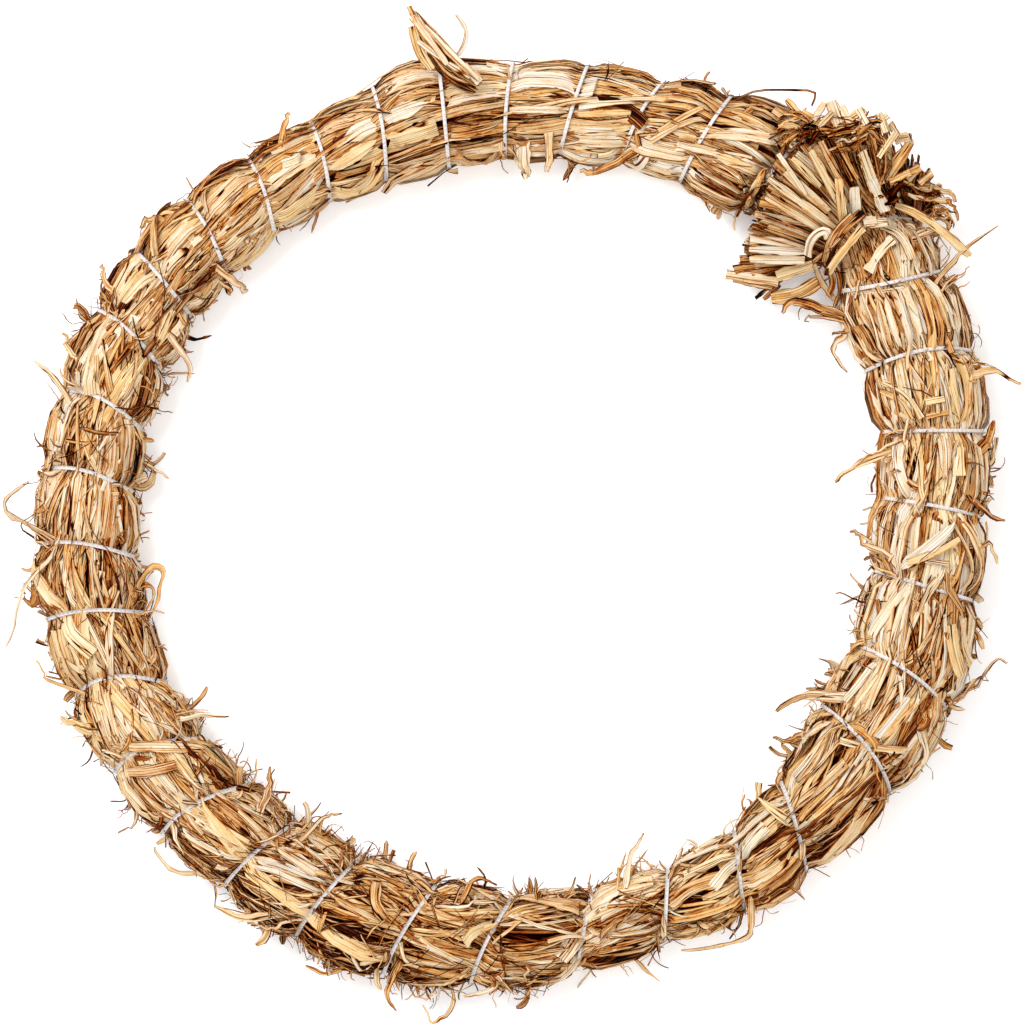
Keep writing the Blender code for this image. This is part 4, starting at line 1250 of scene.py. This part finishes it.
# %% Draped feature blades
FEATURES = [
    (1.3, 0.95, 4.6, [(3.5, -7.2), (8.0, -8.7), (12.8, -7.6)]),
    (1.0, 0.76, 3.8, [(12.3, 14.0), (16.0, 16.4), (20.0, 17.6)]),
    (0.9, 0.72, 3.4, [(20.5, 15.6), (24.0, 17.0), (28.0, 18.4)]),
    (1.1, 0.84, 4.6, [(4.0, 3.6), (12.0, 6.3), (21.0, 9.2)]),
    (1.0, 0.78, 4.4, [(5.0, 8.0), (13.0, 11.0), (20.0, 13.0)]),
    (1.2, 0.50, 6.4, [(20.5, 11.4), (25.0, 13.8), (30.0, 15.3)]),
    (1.1, 0.82, 6.0, [(22.5, 6.0), (27.0, 7.8), (31.5, 10.0)]),
    (1.0, 0.78, 5.6, [(23.5, -0.3), (27.0, 1.0), (32.0, 3.4)]),
    (1.0, 0.76, 5.2, [(14.0, -0.7), (17.5, -3.0), (20.5, -8.0)]),
    (2.0, 0.82, 3.2, [(12.6, 8.0), (12.9, 2.0)]),
    (2.0, 0.78, 3.2, [(14.2, 8.4), (14.4, 2.2)]),
    (2.0, 0.84, 3.4, [(16.0, 8.2), (16.2, 3.2)]),
    (1.3, 0.82, 2.6, [(30.5, 12.5), (32.0, 3.0), (33.6, -4.5), (34.6, -7.3)]),
    (1.2, 0.80, 3.4, [(33.0, 18.0), (36.5, 19.0), (39.5, 16.0)]),
    (1.2, 0.86, 4.2, [(53.9, 2.4), (57.0, 1.0), (60.5, -0.2)]),
    (1.2, 0.84, 4.6, [(55.0, 13.0), (59.0, 9.0), (64.0, 3.2)]),
    (1.6, 0.76, 2.6, [(63.6, 9.6), (66.5, 4.0), (70.0, -5.0)]),
    (1.8, 0.70, 2.4, [(65.0, 11.2), (67.0, 5.5), (69.4, -1.5)]),
    (2.6, 0.86, 3.0, [(71.9, 4.6), (71.6, -2.0), (72.2, -7.5), (74.0, -10.5), (76.6, -12.0)]),
    (1.6, 0.84, 4.8, [(69.4, -6.6), (70.2, -11.0), (71.2, -14.0)]),
    (1.0, 0.90, 7.6, [(79.5, 6.4), (84.5, 6.6), (89.5, 6.0)]),
    (1.0, 0.84, 5.4, [(72.6, 3.0), (78.0, 0.2), (83.0, -2.0)]),
    (1.8, 0.88, 2.8, [(81.5, -1.8), (86.0, -2.6), (91.0, -3.2)]),
    (1.0, 0.84, 5.0, [(90.9, 2.5), (95.0, 1.4), (98.6, 0.6)]),
    (1.2, 0.66, 4.6, [(91.0, -7.0), (95.0, -8.6), (98.8, -9.4)]),
    (1.6, 0.58, 6.2, [(90.6, -15.0), (94.5, -18.6), (98.6, -16.0)]),
    (1.2, 0.92, 5.8, [(99.5, 1.8), (108.0, -0.2), (116.0, -2.8)]),
    (1.6, 0.86, 5.6, [(100.6, -6.6), (104.2, -7.0), (107.6, -7.2)]),
    (0.9, 0.90, 7.2, [(108.4, 9.6), (114.0, 10.4), (120.0, 8.8)]),
    (1.2, 0.84, 4.4, [(108.6, -5.0), (113.0, -7.0), (118.2, -8.4)]),
    (1.4, 0.76, 5.8, [(109.0, -11.5), (113.4, -16.4), (118.0, -15.0)]),
    (1.0, 0.86, 5.2, [(117.0, -1.8), (122.0, -2.2), (127.4, -2.8)]),
    (1.0, 0.86, 6.0, [(118.8, -11.0), (124.0, -12.4), (129.0, -12.4)]),
    (1.1, 0.84, 4.6, [(126.8, 3.2), (132.0, 2.6), (138.4, 1.6)]),
    (1.8, 0.44, 1.6, [(121.5, 6.4), (126.0, 9.0), (130.5, 11.6)]),
    (1.6, 0.40, 1.4, [(122.5, 5.0), (127.0, 7.0), (131.5, 10.0)]),
    (2.2, 0.78, 3.8, [(132.4, 8.8), (133.6, 7.0), (134.6, 3.4)]),
    (2.2, 0.66, 5.0, [(137.0, 15.2), (138.8, 14.4), (140.6, 11.4), (142.8, 7.2)]),
    (1.0, 0.82, 5.0, [(126.6, -7.8), (131.5, -8.2), (136.6, -8.9)]),
    (1.1, 0.84, 4.8, [(144.3, 4.8), (147.2, 5.8), (150.4, 6.5)]),
    (1.6, 0.82, 4.0, [(144.4, -11.7), (147.5, -11.2), (150.6, -10.5)]),
    (2.0, 0.90, 3.6, [(152.2, -12.8), (156.0, -12.4), (159.4, -12.0)]),
    (1.2, 0.72, 4.4, [(139.0, 0.0), (143.0, 1.6), (148.0, 3.0)]),
    (1.8, 0.80, 4.8, [(185.4, 17.8), (189.0, 13.4), (193.6, 9.6), (197.0, 5.0)]),
    (1.6, 0.88, 3.2, [(195.2, 9.8), (197.0, 9.2), (199.2, 8.4)]),
    (1.6, 0.74, 4.2, [(203.4, 20.8), (206.0, 18.0), (209.6, 14.6)]),
    (1.8, 0.56, 4.0, [(213.0, 10.8), (214.4, 5.0), (216.0, -3.0)]),
    (1.2, 0.84, 5.4, [(222.6, 1.2), (226.0, 0.0), (230.6, -1.8)]),
    (1.4, 0.88, 5.4, [(232.8, 1.0), (236.0, -2.0), (242.4, -3.8)]),
    (1.2, 0.80, 4.6, [(233.4, -7.0), (238.0, -7.2), (242.6, -6.5)]),
    (2.4, 0.56, 3.8, [(252.2, -2.6), (250.4, -6.0), (249.6, -11.2)]),
    (2.2, 0.90, 4.0, [(263.4, 0.5), (265.0, -3.6), (268.0, -7.1)]),
    (1.2, 0.66, 5.0, [(271.0, -14.0), (275.5, -12.0), (280.0, -9.2)]),
    (1.2, 0.82, 4.8, [(282.0, -12.6), (287.0, -11.4), (291.6, -10.4)]),
    (1.3, 0.96, 5.8, [(292.6, -10.8), (302.0, -9.2), (313.0, -9.2), (319.0, -11.4)]),
    (0.9, 0.64, 4.8, [(292.6, -2.6), (296.4, -4.0), (301.0, -2.4)]),
    (0.6, 0.72, 4.6, [(297.0, 0.6), (303.0, 1.8), (308.6, 3.2)]),
    (0.6, 0.66, 4.4, [(303.0, -1.8), (308.6, -0.6), (314.0, 2.0)]),
    (0.8, 0.74, 4.8, [(314.0, -7.0), (319.0, -5.0), (325.0, -3.0)]),
    (2.4, 0.98, 3.8, [(299.0, -1.4), (304.0, -4.9), (310.0, -7.5)]),
    (2.4, 0.96, 3.6, [(312.0, -13.4), (312.8, -5.6), (313.6, 2.4)]),
    (1.2, 0.72, 6.0, [(313.2, -2.4), (317.5, -1.4), (322.0, 0.2)]),
    (1.4, 0.70, 4.8, [(320.0, -15.4), (324.0, -16.6), (328.4, -14.6)]),
    (2.2, 0.60, 4.2, [(326.0, 6.2), (328.8, 1.4), (329.6, -6.6), (328.4, -14.2)]),
    (2.4, 0.80, 3.2, [(326.6, -8.2), (328.2, 1.0), (330.2, 9.4)]),
    (1.5, 0.95, 6.2, [(330.4, -12.4), (338.0, -9.0), (345.0, -9.0), (352.4, -7.0)]),
    (2.2, 0.98, 5.0, [(339.5, -14.2), (345.0, -11.5), (351.5, -7.0)]),
    (2.2, 0.82, 4.6, [(341.0, 15.6), (344.0, 11.0), (347.2, 7.9)]),
    (2.4, 0.72, 4.2, [(342.5, 18.0), (344.6, 14.0), (348.6, 10.6)]),
    (1.8, 0.72, 6.4, [(350.8, 13.0), (355.0, 13.4), (360.4, 7.0)]),
    (3.4, 1.00, 5.0, [(353.4, -8.8), (356.0, -2.6), (359.8, 5.8)]),
    (3.8, 0.98, 2.6, [(354.2, -7.0), (356.2, 1.4), (358.0, 7.0)]),
    (2.6, 0.92, 1.8, [(354.6, 5.0), (354.9, -2.4)]),
]

SIDE_FROM = 0.8
SIDE_ROOM = 0.18
WIDE_BLADE = 5.0
FINE_STRAW = 0.12


def draped(angle, stand_off, lift):
    """Points on the bundle's front by ring angle and stand-off, this many mm over it."""
    aside = (stand_off - bundle_radius(angle) + CENTRE_RADIUS) / half_width(angle)
    past = np.maximum(np.abs(aside) - SIDE_FROM, 0.0)
    near = np.minimum(np.abs(aside), SIDE_FROM)
    aside = np.sign(aside) * (near + SIDE_ROOM * np.tanh(past / SIDE_ROOM))
    section = np.degrees(np.arccos(aside))
    drawn = np.minimum(1.0, pinch(angle, section) * 1.25)
    points, up = on_bundle(angle, section, lift * (1.0 - drawn) + UNDER_THREAD * drawn)
    return points, up, drawn


def build_features(name, rows, finish):
    steps = 14
    fineness = round_table(CHARACTER, np.array([row[3][0][0] for row in rows]))[:, 0]
    wide = np.array([row[2] for row in rows]) > WIDE_BLADE
    side_by_side = 1 + (wide & (fineness > FINE_STRAW)).astype(int)
    place = np.concatenate([(np.arange(n) - (n - 1) / 2.0) / n for n in side_by_side])
    rows = [row for row, n in zip(rows, side_by_side) for _ in range(n)]
    count = len(rows)
    share = np.linspace(-1, 1, steps)
    paths = np.array([smooth_line(way, steps) for _, _, _, way in rows])
    flat = paths * (math.radians(CENTRE_RADIUS), 1.0)
    ahead = unit(np.gradient(flat, axis=1))
    full = np.array([row[2] for row in rows])
    width = full / np.repeat(side_by_side, side_by_side) * rng.uniform(0.8, 1.15, count)
    slid = (place * full)[:, None] + rng.normal(0, 0.5, (count, 1)) * (place[:, None] != 0.0) * share
    flat = flat + np.stack([-ahead[..., 1], ahead[..., 0]], axis=-1) * slid[..., None]
    middle = flat[:, steps // 2, None]
    flat = middle + (flat - middle) * rng.uniform(0.8, 1.12, (count, 1, 1))
    lift = np.array([row[0] for row in rows])[:, None] + rng.uniform(-0.3, 0.3, (count, 1))
    lift = lift + rng.uniform(-1.2, 1.2, (count, 1)) * share ** 4
    points, up, drawn = draped(flat[..., 0] / math.radians(CENTRE_RADIUS), flat[..., 1], lift)
    roll = rng.normal(0, 0.25, (count, 1)) + np.linspace(-1, 1, steps) * rng.normal(0, 0.2, (count, 1))
    up = tilted(up, points, roll)
    widths = blade_widths(width, rng.choice([0.0, 0.25, 0.9], count, p=[0.6, 0.25, 0.15]), steps)
    tone = np.array([row[1] for row in rows]) + rng.normal(0, 0.04, count)
    thickness = (0.16 + 0.03 * width)[:, None] * (1.0 - 0.6 * drawn)
    made = swept(name, points, up, widths, PLANK, thickness, tone, np.zeros(count), finish)
    return made


build_features("feature_blades", FEATURES, blade_finish)

# %% [markdown]
# ## The tied sprig
#
# Beside the top of the ring a short sprig of straw stands off. It is a twist of leafy blades
# that share one curved line, each set off from it to one side. They are drawn together at the
# tip and at the root.

# %% The sprig
SPRIG_LINE = [(94.6, 5.2, 30.0), (98.1, 13.0, 31.5), (100.0, 23.5, 32.5), (101.3, 33.6, 33.5)]


def build_sprig():
    steps, count = 14, 56
    table = np.array(SPRIG_LINE)
    line = smooth_line(in_plan(table[:, 0], table[:, 1], table[:, 2]), steps)
    forward = unit(np.gradient(line, axis=0))
    across = unit(np.cross(forward, [0.0, 0.0, 1.0]))
    upright = np.cross(across, forward)
    share = np.linspace(0, 1, steps)
    turned = rng.uniform(0, 2 * np.pi, (count, 1)) + 1.3 * share + rng.normal(0, 0.2, (count, 1)) * share
    plump = 2.6 + 2.4 * np.sin(np.pi * np.clip(share * 0.95 + 0.05, 0, 1)) ** 0.8 - 1.9 * share ** 1.5
    spread = np.sqrt(rng.uniform(0.05, 1, (count, 1))) * plump
    points = line + across * (np.cos(turned) * spread)[..., None]
    points = points + upright * (np.sin(turned) * spread)[..., None]
    points = points[:, :1] + (points - points[:, :1]) * rng.uniform(0.5, 0.97, (count, 1, 1))
    points = points + forward * rng.uniform(-1.5, 4.0, (count, 1, 1)) * (1 - share)[:, None]
    points = kinked(points, 0.35, share)
    ups = across * np.cos(turned)[..., None] + upright * np.sin(turned)[..., None]
    wide = rng.uniform(0.7, 3.2, count)
    widths = blade_widths(wide, rng.choice([0.2, 0.8], count), steps)
    tones = rng.normal(0.76, 0.11, count)
    made = swept("sprig_stalks", points, ups, widths, PLANK, 0.10 + 0.04 * wide, tones,
                 rng.uniform(0, 0.25, count), blade_finish)
    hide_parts("tied_sprig")
    return made


SPRIG_BLADES = [
    (0.90, 2.2, [(-27.7, 154.1, 36.5), (-19.2, 145.0, 36.5), (-10.7, 137.1, 34.5)]),
    (0.92, 1.8, [(-29.9, 149.3, 36.0), (-22.0, 143.4, 36.0), (-13.3, 138.1, 34.0)]),
    (0.92, 1.6, [(-17.8, 158.2, 31.0), (-14.6, 153.1, 31.0), (-15.5, 147.7, 31.0), (-19.5, 142.6, 31.5)]),
    (0.76, 3.2, [(-31.8, 154.1, 35.0), (-29.3, 146.1, 34.5), (-25.4, 140.6, 32.5)]),
    (0.56, 1.7, [(-32.6, 160.4, 35.0), (-30.8, 155.2, 36.5)]),
    (0.90, 3.0, [(-15.6, 141.7, 34.5), (-10.1, 136.5, 33.5)]),
    (0.80, 2.4, [(-31.8, 157.0, 36.0), (-26.5, 150.0, 37.0), (-20.5, 142.0, 36.0)]),
]

sprig = build_sprig()
build_placed("sprig_blades", SPRIG_BLADES)

# %% [markdown]
# ## The room
#
# The ring lies on a plain pale floor. The camera hangs straight above it, far off with a long
# lens, so that the ring looks as flat as in a catalogue picture. A large soft lamp stands at
# the upper left, a weaker and larger one is above, and a pale sky fills in the rest. The floor
# glows faintly of itself, painted light that no lamp gives, which keeps it white up to the ring's
# own soft shadow.

# %% Floor and light
FLOOR_REACH = 3
FLOOR_PALEST = (0.97, 0.97, 0.97)
FLOOR_DARKEST = (0.94, 0.94, 0.94)
FLOOR_GLOW = 0.16
SKY_STRENGTH = 0.90
LAMPS = [
    ("key_lamp", (-0.70, 0.66, 1.55), 0.8, 21.0),
    ("front_lamp", (0.3, -0.2, 1.9), 1.2, 7.5),
]


def build_floor():
    r = FLOOR_REACH
    mesh = bpy.data.meshes.new("floor")
    mesh.from_pydata([(-r, -r, 0), (r, -r, 0), (r, r, 0), (-r, r, 0)], [], [(0, 1, 2, 3)])
    floor = bpy.data.objects.new("floor", mesh)
    bpy.context.scene.collection.objects.link(floor)
    paint, shader, start = new_finish("floor_paint")
    spots = start.node("ShaderNodeTexCoord", {}, {}, "Object").noise(3.0, 2.0)
    stops = [(0.0, FLOOR_DARKEST), (1.0, FLOOR_PALEST)]
    feed(shader, Base_Color=start.node("ShaderNodeValToRGB", {"stops": stops}, {"Fac": spots}))
    shader.inputs["Roughness"].default_value = 0.9
    shader.inputs["Emission Color"].default_value = (1.0, 1.0, 1.0, 1.0)
    # Painted light: the floor glows a little of itself, which lifts the ring's shadow on it.
    shader.inputs["Emission Strength"].default_value = FLOOR_GLOW
    mesh.materials.append(paint)


def build_light():
    world = bpy.data.worlds.new("pale_sky")
    world.use_nodes = True
    world.node_tree.nodes["Background"].inputs["Color"].default_value = (1.0, 1.0, 1.0, 1.0)
    world.node_tree.nodes["Background"].inputs["Strength"].default_value = SKY_STRENGTH
    bpy.context.scene.world = world
    for name, place, size, power in LAMPS:
        lamp = bpy.data.lights.new(name, "AREA")
        lamp.shape = "DISK"
        lamp.size = size
        lamp.energy = power
        holder = bpy.data.objects.new(name, lamp)
        holder.location = place
        holder.rotation_euler = (-Vector(place)).to_track_quat("-Z", "Y").to_euler()
        bpy.context.scene.collection.objects.link(holder)


build_floor()
build_light()
print("lamps:", [name for name, *_ in LAMPS])

# %% [markdown]
# ## The camera
#
# The photograph is square and shows 1,024 pixels of 0.32 mm across. The lens is as long as it
# takes to see just that width in the plane where most of the straw's front lies.

# %% The camera
CAMERA_HEIGHT = 2.2
SENSOR_WIDTH = 36.0
FRAME_WIDTH = 0.32768
FOCUS_HEIGHT = 0.016


def build_camera():
    lens = bpy.data.cameras.new("camera")
    lens.sensor_width = SENSOR_WIDTH
    lens.lens = SENSOR_WIDTH * (CAMERA_HEIGHT - FOCUS_HEIGHT) / FRAME_WIDTH
    lens.clip_end = 20.0
    camera = bpy.data.objects.new("camera", lens)
    camera.location = (0.0, 0.0, CAMERA_HEIGHT)
    bpy.context.scene.collection.objects.link(camera)
    bpy.context.scene.camera = camera
    print("lens:", round(lens.lens), "mm")


build_camera()
bpy.context.scene.view_settings.view_transform = "Standard"
